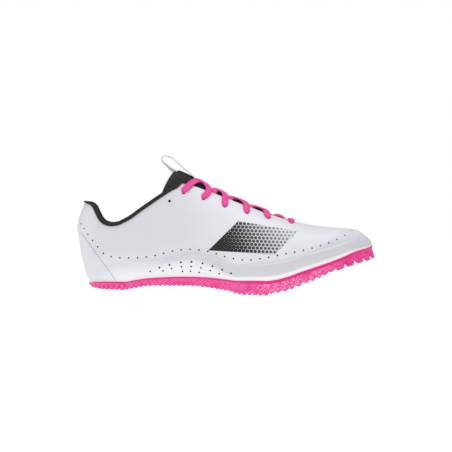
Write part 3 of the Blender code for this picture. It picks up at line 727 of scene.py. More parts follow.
def soft_oval(sides, wide_power, tall_power):
    """Angle, breadth and height of the points round a section. Lower powers make it squarer."""
    turn = np.linspace(0, 2 * np.pi, sides, endpoint=False)
    across = np.sign(np.cos(turn)) * np.abs(np.cos(turn)) ** wide_power
    tall = np.sign(np.sin(turn)) * np.abs(np.sin(turn)) ** tall_power
    return turn, across, tall


def section_rings(centre, wide, high, across, tall):
    """Rings round a line, from breadths and heights along each section's two directions."""
    return centre[:, None] + wide[:, None] * across[..., None] + high[:, None] * tall[..., None]


print("mesh helpers ready")

# %% [markdown]
# ## Finish of the upper
#
# The upper is a smooth coated textile, nearly white with a cool tint, and a soft sheen. Its grain
# is too fine to model, so a noise bump gives it. On both sides a slanted patch carries a plain
# printed fade: a hexagonal grid of dots that grow together towards the heel and thin out to
# silver towards the toe. The dots come from two shifted grids of cells, and each cell's distance
# to its middle is compared with a radius that falls along the patch.
#
# The tones of the wall's lower band and of the wall over it follow a UV map of its own, which says
# how high a spot lies between the wall's foot (0) and the step (1). These tones are painted light
# and shade: a painted highlight on the band at the heel and the arch, painted shade in the trough
# over that band and on the heel's upper part, painted grey shade over the ball and the toe, and a
# painted highlight as a bright line just over the plate. The heel's seam is a thin dented line, and
# painted shade darkens its groove.

# %% Coated textile
PATCH_LOW = 0.0370            # lower and upper edge of the printed patch
PATCH_HIGH = 0.0640
PATCH_SLOPE = 0.95            # it leans forward by this much for each metre up
PATCH_BACK = -0.0160          # its lower corners along the shoe
PATCH_FRONT = 0.0430
PATCH_SOFT = 0.00025          # how soft its border is
PATCH_TOP_FALL = 0.13         # its upper edge falls by this much for each metre forward
PATCH_FOOT_FALL = 0.02
DOT_PITCH = 0.0034
DOT_SOFT = 0.00012
DOT_FULL, DOT_LOSS = 1.06, 0.72   # the dots' radius at the patch's back, and what it loses
COATING_ROUGHNESS = 0.46
SEAM_X, SEAM_Z = -0.119, 0.0387   # the heel's seam goes through this spot
SEAM_LEAN = 0.80              # and this far back for each metre up
SEAM_ACROSS = 0.78            # a step along X, seen square to the seam

# Painted light and shade on the wall, each placed by a mask in coated_textile
# name, strength, colour
TONES = [
    ("band_highlight", 0.85, (249, 249, 251)),      # painted highlight: a bright band at the heel and the arch
    ("over", 0.28, (208, 208, 214)),      # shade in the trough over that band
    ("quarter_shade", 0.75, (219, 219, 224)),   # painted shade on the heel's upper part
    ("shade", 0.92, (212, 212, 217)),     # grey over the ball and the toe
    ("line", 1.0, (255, 255, 255)),       # painted highlight: a bright line just over the plate
]


def printed_fade(x, z):
    """How much of the dark print, and how much of the silver print, covers a spot."""
    height = z - PATCH_LOW
    along = x - height * PATCH_SLOPE
    top = PATCH_HIGH - (x - 0.010).higher(0.0) * PATCH_TOP_FALL
    bottom = z - (x * -PATCH_FOOT_FALL + PATCH_LOW)
    inside = along.rise(PATCH_BACK, PATCH_BACK + PATCH_SOFT)
    inside = inside * along.fall(PATCH_FRONT, PATCH_FRONT + PATCH_SOFT)
    inside = inside * bottom.rise(0.0, PATCH_SOFT) * (top - z).rise(0.0, PATCH_SOFT)
    share = (along - PATCH_BACK) / (PATCH_FRONT - PATCH_BACK)
    share = share * 0.62 + height / (PATCH_HIGH - PATCH_LOW) * 0.42
    radius = (DOT_FULL - share * DOT_LOSS) * (DOT_PITCH * 0.60)
    row = DOT_PITCH * math.sqrt(3)
    nearest = None
    for shift in (0.0, 0.5):
        across = (x + shift * DOT_PITCH).wrap(-DOT_PITCH / 2, DOT_PITCH / 2)
        up = (z + shift * row).wrap(-row / 2, row / 2)
        squared = across * across + up * up
        nearest = squared if nearest is None else nearest.lower(squared)
    distance = nearest.combine("SQRT", nearest, 0.0)
    dots = (radius - distance).rise(-DOT_SOFT, DOT_SOFT)
    return inside * dots, inside, share


def coated_textile():
    finish = Finish("coated_upper", colour(228, 229, 234), roughness=COATING_ROUGHNESS,
                    specular_ior_level=0.42)
    x, _, z = finish.place()
    dark, inside, share = printed_fade(x, z)
    cloudy = finish.noise(35.0, 1.0)
    base = finish.mix(cloudy, colour(225, 226, 232), colour(231, 232, 237))
    _, height = finish.uv_map("wall")
    lower = x.rise(-0.030, 0.012) * -0.58 + 0.80
    soft = x.rise(0.070, 0.112) * 1.4 + 0.16
    # Where each painted highlight and painted shade of TONES lies on the wall
    masks = {
        "band_highlight": height.fall(0.25, 1.02) * x.rise(-0.112, -0.092) * x.fall(0.095, 0.120),
        "over": height.rise(0.98, 1.06) * height.fall(1.15, 1.70) * x.rise(-0.112, -0.060)
                * x.fall(-0.015, 0.010),
        "quarter_shade": height.rise(1.3, 1.9) * x.fall(-0.050, 0.000) * x.rise(-0.125, -0.110),
        "shade": (height - lower).rise(-0.14, 0.16) * ((height - 1.04) / soft).fall(0.0, 1.0)
                 * x.rise(-0.075, -0.045),
        "line": height.fall(0.14, 0.30) * x.rise(-0.010, 0.020),
    }
    for name, strength, tone in TONES:
        base = finish.mix(masks[name] * strength, base, colour(*tone))
    silver = colour(196, 193, 199)
    ink = finish.mix(share.rise(0.30, 0.95), colour(24, 23, 20), colour(128, 126, 130))
    base = finish.mix(inside * 0.55, base, silver)
    base = finish.mix(dark, base, ink)
    seam_dent_and_shade = abs(x - SEAM_X + (z - SEAM_Z) * SEAM_LEAN) * SEAM_ACROSS
    seam_dent_and_shade = seam_dent_and_shade.fall(0.00012, 0.00042) * z.fall(0.0495, 0.0505)
    # The seam's line is darkened a little as painted shade in its groove, and the same line dents
    # the bump below
    base = finish.mix(seam_dent_and_shade * 0.22, base, colour(160, 160, 168))
    finish.set("Base Color", base)
    finish.set("Roughness", COATING_ROUGHNESS - dark * 0.10)
    grain = finish.noise(2600.0, 2.0)
    below = finish.bump(grain, 0.00005, 0.5)
    finish.bump(1 - seam_dent_and_shade, 0.00035, 0.8, below)
    return finish.material


def plain_textile(name, base, scale, distance, roughness=0.9, **constants):
    finish = Finish(name, base, roughness=roughness, **constants)
    spot = finish.node("TexCoord", output="Object")
    weave = finish.node("TexVoronoi", {"feature": "F1"}, {"Vector": spot, "Scale": scale})
    finish.bump(weave, distance)
    return finish.material


white_upper = coated_textile()
lining = plain_textile("lining", colour(38, 38, 40), 900.0, 0.00015)
hole_dark = plain_textile("hole_shadow", colour(22, 21, 22), 900.0, 0.00005)
print("upper finishes ready")

# %% [markdown]
# ## The upper
#
# The real upper is cut flat, sewn at the heel and pulled over the last. Here it is a fine grid on
# the last's skin, open at the collar, down the throat and underneath. Solidify gives it the
# textile's thickness, and one Boolean cuts all its holes: the eyelets go through, and the small
# vents are blind, so they stay dark over the pale foam.
#
# A shallow trough runs along the wall just over the step. Four soft hollows are pressed in: in the
# side of the heel under the step, over the arch, at the ball and at the toes.

# %% Grid of the upper
STATIONS_ROUND = 470
ROWS_TO_LEDGE = 9
ROWS_IN_LEDGE = 9
ROWS_ABOVE = 44
UPPER_WALL = 0.0013
FOOT_TUCK = 0.0004            # the wall reaches down to the plate

# x, z, reach along, reach up, depth, all in metres
HOLLOWS = [
    (-0.0985, 0.0195, 0.0190, 0.0042, 0.0011),
    (-0.0250, 0.0372, 0.0300, 0.0050, 0.0006),
    (0.0300, 0.0300, 0.0300, 0.0050, 0.0005),
    (0.1010, 0.0475, 0.0130, 0.0035, 0.0004),
]
TROUGH_DEPTH = 0.00055
TROUGH_RISE = 0.0034
TROUGH_WIDTH = 0.0026
TROUGH_LOSS = 0.8             # the trough loses this share of its depth towards the toe


def hollow_depth(points):
    turn = turn_over(points[..., 0])
    over = (points[..., 2] - ledge_height(turn) - TROUGH_RISE) / TROUGH_WIDTH
    depth = TROUGH_DEPTH * np.exp(-over ** 2) * ease((turn - 0.10) / 0.15)
    depth = depth * (1 - TROUGH_LOSS * ease((points[..., 0] + 0.015) / 0.030))
    for x, z, reach_x, reach_z, deep in HOLLOWS:
        far = ((points[..., 0] - x) / reach_x) ** 2 + ((points[..., 2] - z) / reach_z) ** 2
        depth += deep * np.exp(-far)
    return depth


def upper_stations():
    around = list(np.linspace(-1, 1, STATIONS_ROUND + 1))
    for left in (0.0, 0.01, 0.04, 0.10, 0.20, 0.35, 0.55, 0.80, 1.0):
        turn = float(turn_at(THROAT_PLACE - left * THROAT_ROUND / UPPER_LENGTH))
        around += [-turn, turn]
    around = np.array(sorted(around))
    keep = np.append(True, np.diff(around) > 2e-4)
    return around[keep]


def wall_rows(around):
    """Angles of the wall's rows at each station, close together at the soft step."""
    top = edge_angle(around)
    ledge = ledge_height(np.abs(around))
    below = np.minimum(angle_at_height(around, ledge - LEDGE_SOFT * 0.8), top * 0.78)
    above = np.minimum(angle_at_height(around, ledge + LEDGE_SOFT * 0.8), top * 0.88)
    rows = [below * (k / ROWS_TO_LEDGE) for k in range(ROWS_TO_LEDGE)]
    rows += [below + (above - below) * (k / ROWS_IN_LEDGE) for k in range(ROWS_IN_LEDGE)]
    for k in range(ROWS_ABOVE + 1):
        rows.append(above + (top - above) * (1 - (1 - k / ROWS_ABOVE) ** 1.15))
    return np.stack(rows, axis=1)


stations = upper_stations()
angles = wall_rows(stations)
around_grid = np.repeat(stations[:, None], angles.shape[1], axis=1)
wall_points = skin(around_grid, angles)
wall_points = wall_points - outward(around_grid, angles) * hollow_depth(wall_points)[..., None]
foot_row = wall_points[:, :1] - np.array([0.0, 0.0, FOOT_TUCK])
wall_points = np.concatenate([foot_row, wall_points], axis=1)
print("upper grid:", wall_points.shape)

# %% Holes of the upper
# Place, metres below the edge, and how far ahead of its hole a strand climbs over that edge
EYELETS = [(0.357, 0.0100, 0.0050), (0.425, 0.0106, 0.0040), (0.498, 0.0124, -0.0009),
           (0.573, 0.0132, -0.0022), (0.645, 0.0130, -0.0033), (0.723, 0.0110, 0.0000)]
EYELET = 0.0036
SPARE_EYELET_SPOT = (0.310, 0.0116)
SPARE_EYELET = 0.0024
VENT = 0.00150
CLUSTER_VENT = 0.00175
VENT_DEPTH = 0.0009
CUT_REACH = 0.0008            # how far a cutter stands out of the skin

# X and Z in millimetres of the vents, or of points that an even row of vents passes through
HEEL_ROW = [(-127.5, 56.3), (-124.6, 52.4), (-121.0, 47.6), (-116.8, 42.3), (-111.9, 37.0),
            (-106.8, 31.5)]
LONG_ROW = [(-99.9, 28.8), (-92.2, 28.2), (-76.5, 28.8), (-61.1, 31.4), (-45.8, 35.9),
            (-30.2, 37.9), (-14.5, 36.4), (0.6, 32.3), (15.7, 30.4), (31.7, 32.4), (47.2, 36.1),
            (62.7, 39.6), (76.8, 43.4), (90.5, 48.3), (102.6, 54.5), (109.7, 59.1)]
LONG_ROW_COUNT = 29
UPPER_CLUSTER = [(-57.4, 20.8), (-48.7, 23.6), (-38.8, 26.2), (-29.6, 27.0), (-20.0, 26.0),
                 (-11.2, 23.9), (-2.7, 21.2), (5.2, 18.3)]
LOWER_CLUSTER = [(-65.3, 17.3), (-54.1, 18.2), (-46.6, 20.6), (-38.1, 22.5), (-29.9, 22.9),
                 (-21.2, 22.0), (-13.0, 20.0), (-5.1, 17.5), (-37.2, 18.2), (-30.1, 18.8),
                 (-22.6, 17.9)]


def even_row(points, count):
    """Spots at even distances along a line through points."""
    line = np.array(points) / 1000
    walked = walked_along(line)
    marks = np.linspace(0.0, walked[-1], count)
    return np.stack(columns_at(walked, line, marks), axis=1)


def eyelet_spot(side, place, inset):
    around = side * turn_at(place)
    top = edge_angle(around)
    down = last_point(around, top - SKIN_STEP) - last_point(around, top)
    return slide(around, top, unit(down) * inset)


def hole_list():
    """Every hole as a spot on the skin, a width and how deep it goes."""
    holes = []
    for side in (-1, 1):
        for place, inset, _ in EYELETS:
            holes.append((*eyelet_spot(side, place, inset), EYELET, UPPER_WALL * 2))
        holes.append((*eyelet_spot(side, *SPARE_EYELET_SPOT), SPARE_EYELET, UPPER_WALL * 2))
        rows = [(even_row(LONG_ROW, LONG_ROW_COUNT), VENT), (np.array(HEEL_ROW) / 1000, VENT),
                (np.array(UPPER_CLUSTER) / 1000, CLUSTER_VENT),
                (np.array(LOWER_CLUSTER) / 1000, VENT)]
        for spots, width in rows:
            around, angle = find_spot(side, spots[:, 0], spots[:, 1])
            holes += [(a, b, width, VENT_DEPTH) for a, b in zip(around, angle)]
    return holes


def make_cutter():
    work = bmesh.new()
    for around, angle, width, depth in holes:
        spot = skin(around, angle)
        spot = spot - outward(around, angle) * hollow_depth(spot)
        axis = Vector(outward(around, angle))
        middle = Vector(spot) + axis * (CUT_REACH - depth) / 2
        bmesh.ops.create_cone(work, cap_ends=True, segments=16, radius1=width / 2,
                              radius2=width / 2, depth=depth + CUT_REACH,
                              matrix=standing_on(middle, axis))
    mesh = bpy.data.meshes.new("hole_cutter")
    work.to_mesh(mesh)
    work.free()
    mesh.materials.append(hole_dark)
    return new_object("hole_cutter", mesh)


holes = hole_list()
print("holes:", len(holes))

# %% Cut and thicken the upper
def make_upper():
    mesh = bpy.data.meshes.new("upper_sheet")
    work = welded(mesh, wall_points, grid_quads(*wall_points.shape[:2]), 2e-5, 1e-5)
    bmesh.ops.recalc_face_normals(work, faces=work.faces)
    work.faces.ensure_lookup_table()
    widest = max(work.faces, key=lambda face: abs(face.calc_center_median().y))
    if widest.normal.y * widest.calc_center_median().y < 0:
        bmesh.ops.reverse_faces(work, faces=work.faces)
    work.to_mesh(mesh)
    work.free()
    piece = new_object("upper_shell", mesh)
    for material in (white_upper, lining, hole_dark):
        mesh.materials.append(material)
    corners = np.zeros(len(mesh.loops), np.int32)
    mesh.loops.foreach_get("vertex_index", corners)
    spots = values_of(mesh.vertices, "co")[corners]
    turns = turn_over(spots[:, 0])
    foot = feather_height(turns)
    shares = (spots[:, 2] - foot) / (ledge_height(turns) - foot)
    layer = mesh.uv_layers.new(name="wall")
    layer.data.foreach_set("uv", np.stack([spots[:, 0] * 4, shares], axis=1).ravel())
    wall = piece.modifiers.new("wall", "SOLIDIFY")
    wall.thickness = UPPER_WALL
    wall.offset = -1.0
    wall.material_offset = 1
    wall.material_offset_rim = 0
    cutter = make_cutter()
    cut = piece.modifiers.new("holes", "BOOLEAN")
    cut.operation = "DIFFERENCE"
    cut.solver = "EXACT"
    cut.material_mode = "TRANSFER"
    cut.object = cutter
    bpy.context.view_layer.update()
    shape = bpy.data.meshes.new_from_object(
        piece.evaluated_get(bpy.context.evaluated_depsgraph_get()))
    shape.name = "upper_shell"
    shape.shade_smooth()
    shape.set_sharp_from_angle(angle=math.radians(42))
    bpy.data.objects.remove(cutter, do_unlink=True)
    bpy.data.objects.remove(piece, do_unlink=True)
    shell = new_object("upper_shell", shape)
    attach(shell, "root")
    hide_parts("upper")
    return shell


upper_shell = make_upper()
print("upper_shell:", len(upper_shell.data.polygons), "faces")

# %% [markdown]
# ## The plate under the foot
#
# The real outsole is one moulded plate of pink plastic. Its top edge is a smooth rim. Below it the
# side is ribbed at the heel, finely toothed under the arch, and nubby under the ball, and lugs
# stand out below the toes. The CAD plate has the same teeth. Here they are walked round again
# with a finer step, so that each tooth gets a round or pointed crown and its own small offset.

# %% Walk round the sole and name each tooth
RIM = 0.0008
RIM_STEP = 0.0006
SIDE_SLANT = 0.0010
RIM_ROUND = 0.0003
RIM_LOW = 0.0013              # height of the rim at the heel, and how much it gains at the ball
RIM_GAIN = 0.0013
HEEL_CHAMFER = 0.0016
HEEL_ZONE = 0.10              # the plate is cut back behind this place, and pushed out in front
TOE_ZONE = 0.90               # of this one
SOLE_BORDER = 0.0100
SIDE_BAND = 0.0140
SHORTEST_TOOTH = 0.0015
SOLE_RINGS = 900
SIDE_ROWS = 9
FLOOR_ROWS = 11

# end, pitch, depth, land, groove, form
ZONES = [
    (0.155, 0.0050, 0.0016, 0.62, 0.0014, "rib"),
    (0.555, 0.0041, 0.0014, 0.00, 0.0003, "edge"),
    (0.645, 0.0050, 0.0014, 0.50, 0.0005, "rib"),
    (0.860, 0.0060, 0.0026, 0.00, 0.0006, "edge"),
    (1.000, 0.0092, 0.0028, 0.50, 0.0013, "rib"),
]


def outline_point(around):
    point = last_point(around, np.zeros_like(np.asarray(around, float)))
    point[..., 2] = 0.0
    return point


def outline_out(around):
    run = unit(outline_point(around + SKIN_STEP) - outline_point(around - SKIN_STEP))
    out = np.stack([-run[..., 1], run[..., 0], np.zeros_like(run[..., 0])], axis=-1)
    tip = np.zeros_like(out)
    tip[..., 0] = 1.0
    return np.where((np.abs(wrapped(around)) > 0.9999)[..., None], tip, out)


def walk_teeth():
    """For each station: how far it is into its tooth, and the tooth's zone values."""
    fine = np.linspace(0, 1, 1201)
    steps = [steps_of(outline_point(side * fine)) for side in (-1, 1)]
    walked = np.append(0.0, np.cumsum((steps[0] + steps[1]) / 2))
    turn_of = SmoothCurve(walked, fine)
    starts, rows = [], []
    start = 0.0
    while start < walked[-1] - SHORTEST_TOOTH:
        place = float(place_at(turn_of(start)))
        zone = next((row for row in ZONES if place < row[0]), ZONES[-1])
        starts.append(start)
        rows.append(zone)
        start += min(zone[1], walked[-1] - start)
    marks = np.linspace(0.0, walked[-1], SOLE_RINGS)
    index = np.clip(np.searchsorted(starts, marks, side="right") - 1, 0, len(starts) - 1)
    ends = np.append(starts[1:], walked[-1])
    into = (marks - np.array(starts)[index]) / (ends - starts)[index]
    return turn_of(marks), into, index, rows


sole_turns, into_tooth, tooth_index, tooth_rows = walk_teeth()
print("teeth on each side:", len(tooth_rows))


# %% Shape of the plate
def tooth_raise(into, land, kind, lean):
    """0 in the groove and 1 on the tooth's crown."""
    half = np.abs(2 * into - 1)
    if kind == "rib":
        return ease(np.clip((1 - half) / max(1 - land, 0.05) * 1.6 - 0.3, 0.0, 1.0))
    peak = 0.5 + lean
    ramp = np.where(into < peak, into / peak, (1 - into) / (1 - peak))
    return np.clip(ramp, 0.0, 1.0) ** 0.85


rng = np.random.default_rng(11)
tooth_lean = rng.uniform(-0.18, 0.18, len(tooth_rows))
tooth_short = rng.uniform(0.0, 0.30, len(tooth_rows))
raised = np.zeros(SOLE_RINGS)
tooth_depth = np.zeros(SOLE_RINGS)
groove = np.zeros(SOLE_RINGS)
is_edge = np.zeros(SOLE_RINGS)
for number, (_, _, depth, land, cut, kind) in enumerate(tooth_rows):
    here = tooth_index == number
    crown = tooth_raise(into_tooth[here], land, kind, tooth_lean[number])
    if kind != "rib":
        crown = crown * (1 - tooth_short[number])
    raised[here] = crown
    tooth_depth[here] = depth
    groove[here] = cut
    is_edge[here] = kind == "edge"


def rim_height(place):
    return RIM_LOW + RIM_GAIN * ease((place - 0.54) / 0.10)


def sole_half(side):
    """Rows of points on one side of the plate, from its top edge to the middle below."""
    around = side * sole_turns
    place = place_at(sole_turns)
    top = feather_height(sole_turns)
    tip = underside(sole_turns)
    low = np.minimum(top - rim_height(place) - RIM_STEP, tip + tooth_depth * (1 - raised))
    here = outline_point(around)
    out = outline_out(around)
    heel_cut = HEEL_CHAMFER * np.maximum(0.0, 1 - place / HEEL_ZONE)
    toe_push = TOE_BUMPER * np.maximum(0.0, (place - TOE_ZONE) / 0.10)
    shift = np.zeros_like(here)
    shift[:, 0] = heel_cut + toe_push
    slant = SIDE_SLANT * (1 - ease((place - TOE_ZONE) / 0.08))
    rows = []

    def row(push, share, height):
        point = here + out * push[:, None] + shift * share
        point[:, 2] = height
        rows.append(point)

    full = np.full(SOLE_RINGS, RIM)
    row(full - 2 * RIM_ROUND, 0.0, top)
    row(full, 0.0, top - RIM_ROUND)
    row(full, 0.0, top - rim_height(place) + RIM_ROUND)
    row(full - RIM_ROUND, 0.1, top - rim_height(place))
    start = top - rim_height(place) - 0.0002
    ragged = np.sin(sole_turns * 613.0) * np.sin(sole_turns * 257.0 + 1.0)
    for k in range(SIDE_ROWS):
        share = k / (SIDE_ROWS - 1)
        carve = groove * (1 - raised) * ease(share * 1.6)
        nubs = 0.00028 * ragged * np.sin(share * 9.0 + sole_turns * 90.0) * (place > 0.53)
        push = RIM - RIM_STEP - slant * share - carve + nubs * math.sin(math.pi * share)
        row(push, share, start + (low - start) * (share * 0.96 + 0.04 * share ** 2))
    foot = rows[-1].copy()
    middle = crest_y(sole_turns)
    half = np.abs(foot[:, 1] - middle)
    border = np.minimum(SOLE_BORDER, 0.55 * half)
    bed = np.where(is_edge > 0, tip + tooth_depth, low)
    bed = low + (bed - low) * np.minimum(1.0, half / SIDE_BAND)
    for k in range(1, FLOOR_ROWS + 1):
        share = k / FLOOR_ROWS
        inward = border * min(1.0, share * 3) + (half - border) * max(0.0, share * 3 - 1) / 2
        point = foot.copy()
        point[:, 1] = middle + side * (half - inward)
        wave = 0.5 - 0.5 * math.cos(math.pi * min(1.0, share * 3))
        point[:, 2] = low + (bed - low) * wave
        rows.append(point)
    return np.stack(rows, axis=1)


def make_plate(rim_finish, tread_finish):
    rings = np.concatenate([sole_half(-1), sole_half(1)[:, ::-1][:, 1:]], axis=1)
    quads = grid_quads(SOLE_RINGS, rings.shape[1], closed_columns=True)
    mesh = bpy.data.meshes.new("sole_plate")
    smooth_mesh(welded(mesh, rings, quads, 2e-6, 2e-6), mesh, 38)
    plate = link_piece("sole_plate", mesh, [rim_finish, tread_finish])
    centres = values_of(mesh.polygons, "center")
    turn_near = turn_over(centres[:, 0])
    drop = feather_height(turn_near) - centres[:, 2]
    normals = values_of(mesh.polygons, "normal")
    smooth_rim = (drop < rim_height(place_at(turn_near)) + 0.0002) | (normals[:, 2] > 0.7)
    mesh.polygons.foreach_set("material_index", np.where(smooth_rim, 0, 1).astype(np.int32))
    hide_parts("outsole")
    return plate


# %% Pink plastic
def rim_plastic():
    finish = Finish("pink_rim", colour(236, 26, 132), roughness=0.38, specular_ior_level=0.45)
    finish.bump(finish.noise(160.0, 2.0), 0.0002, 0.4)
    return finish.material


def tread_plastic():
    finish = Finish("pink_tread", colour(240, 60, 150), roughness=0.5, specular_ior_level=0.4)
    x = finish.place()[0]
    nubs = finish.noise(620.0, 3.0)
    patches = finish.noise(75.0, 2.0)
    toe = x.rise(0.070, 0.105)
    ball = x.rise(0.018, 0.040) * (1 - toe * 0.7)
    pale = nubs.rise(0.40, 0.60) * (0.35 + ball * 0.50 - toe * 0.20)
    pale = pale * patches.rise(0.34, 0.52)
    deep = (patches.fall(0.36, 0.44) * ball * 0.6).higher(toe * 0.8)
    base = finish.mix(deep, colour(241, 64, 152), colour(243, 44, 146))
    base = finish.mix(pale, base, colour(251, 156, 205))
    finish.set("Base Color", base)
    finish.bump(nubs + patches * 0.6, 0.0012, 0.55)
    return finish.material


sole_plate_piece = make_plate(rim_plastic(), tread_plastic())
print("sole_plate:", len(sole_plate_piece.data.polygons), "faces")

# %% [markdown]
# ## Spike wells
#
# Six shallow wells under the forefoot take the spikes. Each is a raised collar round a plain dark
# hole. They don't show in the photograph.

# %% Spike wells
WELLS = [(0.600, -0.62), (0.610, 0.60), (0.700, -0.66), (0.720, 0.66), (0.825, -0.52),
         (0.850, 0.58)]
SPIKE_WELL = 0.0062


def turned_ring(work, matrix, profile, segments=28):
    """A ring turned round Z through (radius, height) points."""
    rings = []
    for k in range(segments):
        turn = 2 * math.pi * k / segments
        rings.append([work.verts.new(matrix @ Vector((r * math.cos(turn), r * math.sin(turn), h)))
                      for r, h in profile])
    for left, right in zip(rings, rings[1:] + rings[:1]):
        for k in range(len(profile)):
            n = (k + 1) % len(profile)
            work.faces.new((left[k], right[k], right[n], left[n]))


def make_wells(material):
    work = bmesh.new()
    for place, across in WELLS:
        turn = float(turn_at(place))
        side = -1 if across < 0 else 1
        edge = outline_point(np.array(side * turn))
        middle = float(crest_y(turn))
        y = middle + abs(across) * (edge[1] - middle)
        slope = float(underside(turn + 0.01) - underside(turn - 0.01))
        slope /= float((outline_point(turn + 0.01) - outline_point(turn - 0.01))[0])
        spot = Vector((edge[0], y, float(underside(turn)) + 0.0027))
        matrix = Matrix.Translation(spot) @ Matrix.Rotation(-math.atan(slope), 4, "Y")
        outer = SPIKE_WELL / 2 + 0.0012
        inner = SPIKE_WELL / 2 - 0.0004
        turned_ring(work, matrix, [(outer, 0.0008), (outer, -0.0002), (outer - 0.0003, -0.0006),
                                   (inner + 0.0003, -0.0006), (inner, -0.0002),
                                   (inner - 0.0010, 0.0006), (0.0001, 0.0006), (0.0001, 0.0010)])
    mesh = smooth_mesh(work, bpy.data.meshes.new("spike_wells"), 35)
    return link_piece("spike_wells", mesh, [material])


well_finish = Finish("well_metal", colour(70, 68, 72), roughness=0.4, metallic=0.7).material
spike_wells = make_wells(well_finish)
print("spike_wells:", len(spike_wells.data.polygons), "faces")

# %% [markdown]
# ## Tongue
#
# The tongue is a padded black textile flap under the laces. It lies against the inside of the
# upper, rises into the throat, and its free top stands over the collar. The grid is closed on
# itself, and its thickness runs out in a round at the edges.

# %% Tongue
TONGUE_THICK = 0.0034
TONGUE_DROP = 0.0022
TONGUE_LIFT = 0.0041
TONGUE_TOP_LIFT = 0.0064
TONGUE_ROLL = 0.0026
TONGUE_HALF = 0.256
TONGUE_TOE = 0.42
TONGUE_FRONT = 0.715
TONGUE_BACK = 0.317
TONGUE_CORNERS = 0.036
TONGUE_FREE = 0.785
TONGUE_RISEN = 0.850
TONGUE_END = 0.945
WALL = 0.0016


def tongue_point(along, across, extra):
    side = side_of(across)
    back = TONGUE_BACK - TONGUE_CORNERS * across * across
    around = side * turn_at(TONGUE_FRONT + (back - TONGUE_FRONT) * along)
    half = TONGUE_HALF * BALL_WIDTH * (TONGUE_TOE + (1 - TONGUE_TOE) * ease(along / 0.75))
    angle = angle_at_breadth(around, np.abs(across) * half)
    edge = edge_angle(around)
    free = ease((angle - edge) / (np.pi / 2 - edge))
    rise = ease((along - TONGUE_FREE) / (TONGUE_RISEN - TONGUE_FREE))
    lift = TONGUE_LIFT + (TONGUE_TOP_LIFT - TONGUE_LIFT) * rise
    lift = lift - TONGUE_ROLL * ease((along - TONGUE_END) / (1 - TONGUE_END))
    depth = WALL + TONGUE_DROP - lift * free
    return skin(around, angle, -(depth + extra))


def make_tongue(material):
    along = np.concatenate([np.linspace(0, 0.84, 50), np.linspace(0.85, 1.0, 40)])
    across = np.sin(np.linspace(-1, 1, 46) * np.pi / 2)
    along_grid, across_grid = np.meshgrid(along, across, indexing="ij")
    round_side = np.sqrt(np.maximum(0.0, 1 - np.abs(across_grid) ** 10))
    from_end = np.minimum(1.0, (1 - along_grid) / 0.030)
    round_end = np.sqrt(np.maximum(0.0, 1 - (1 - from_end) ** 2))
    thick = TONGUE_THICK * np.maximum(0.10, round_side * np.maximum(round_end, 0.12))
    gap = (TONGUE_THICK - thick) / 2
    front = tongue_point(along_grid, across_grid, gap)
    back = tongue_point(along_grid, across_grid, gap + thick)
    rings = np.concatenate([front, back[:, ::-1]], axis=1)
    tongue = swept_piece("tongue_flap", rings, walked_along(front[:, front.shape[1] // 2]),
                         np.linspace(0, 0.09, rings.shape[1]), material)
    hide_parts("tongue")
    return tongue


def knit_textile(name, base, pale, pitch, distance, roughness=0.85):
    """A knitted or woven cloth whose threads follow the piece's own UV map."""
    finish = Finish(name, base, roughness=roughness)
    u, v = finish.uv_map("weave")
    turn = 2 * math.pi / pitch
    threads = (u * turn + (v * turn).wave() * 1.4).wave() * 0.5 + 0.5
    cross = (v * turn * 0.5).wave() * 0.5 + 0.5
    cloth = threads * 0.6 + cross * 0.4
    finish.set("Base Color", finish.mix(cloth, base, pale))
    finish.bump(cloth, distance)
    return finish.material


tongue_flap = make_tongue(knit_textile("tongue_textile", colour(28, 27, 25), colour(52, 50, 47),
                                      0.0016, 0.00018))
print("tongue_flap:", len(tongue_flap.data.polygons), "faces")

# %% [markdown]
# ## Collar binding
#
# A black band is folded over the collar's edge and sewn through. Its section, an upside-down U
# with a round top, is swept along the edge. The legs follow the wall, because their lower corners
# are found by sliding down the skin.

# %% Collar binding
BINDING_WIDTH = 0.0024
BINDING_END = 0.362
BINDING_TAPER = 0.010         # the band gets thin over this length at its two ends
BINDING_TIP = 0.12            # and keeps this share of its width there
BINDING_BACK = 0.34           # share of its width behind the heel
BINDING_STEPS = 330
LINING_GAP = 0.0004
LEG_TIP = 0.35                # thickness of a leg's lower end, as a share of the band's


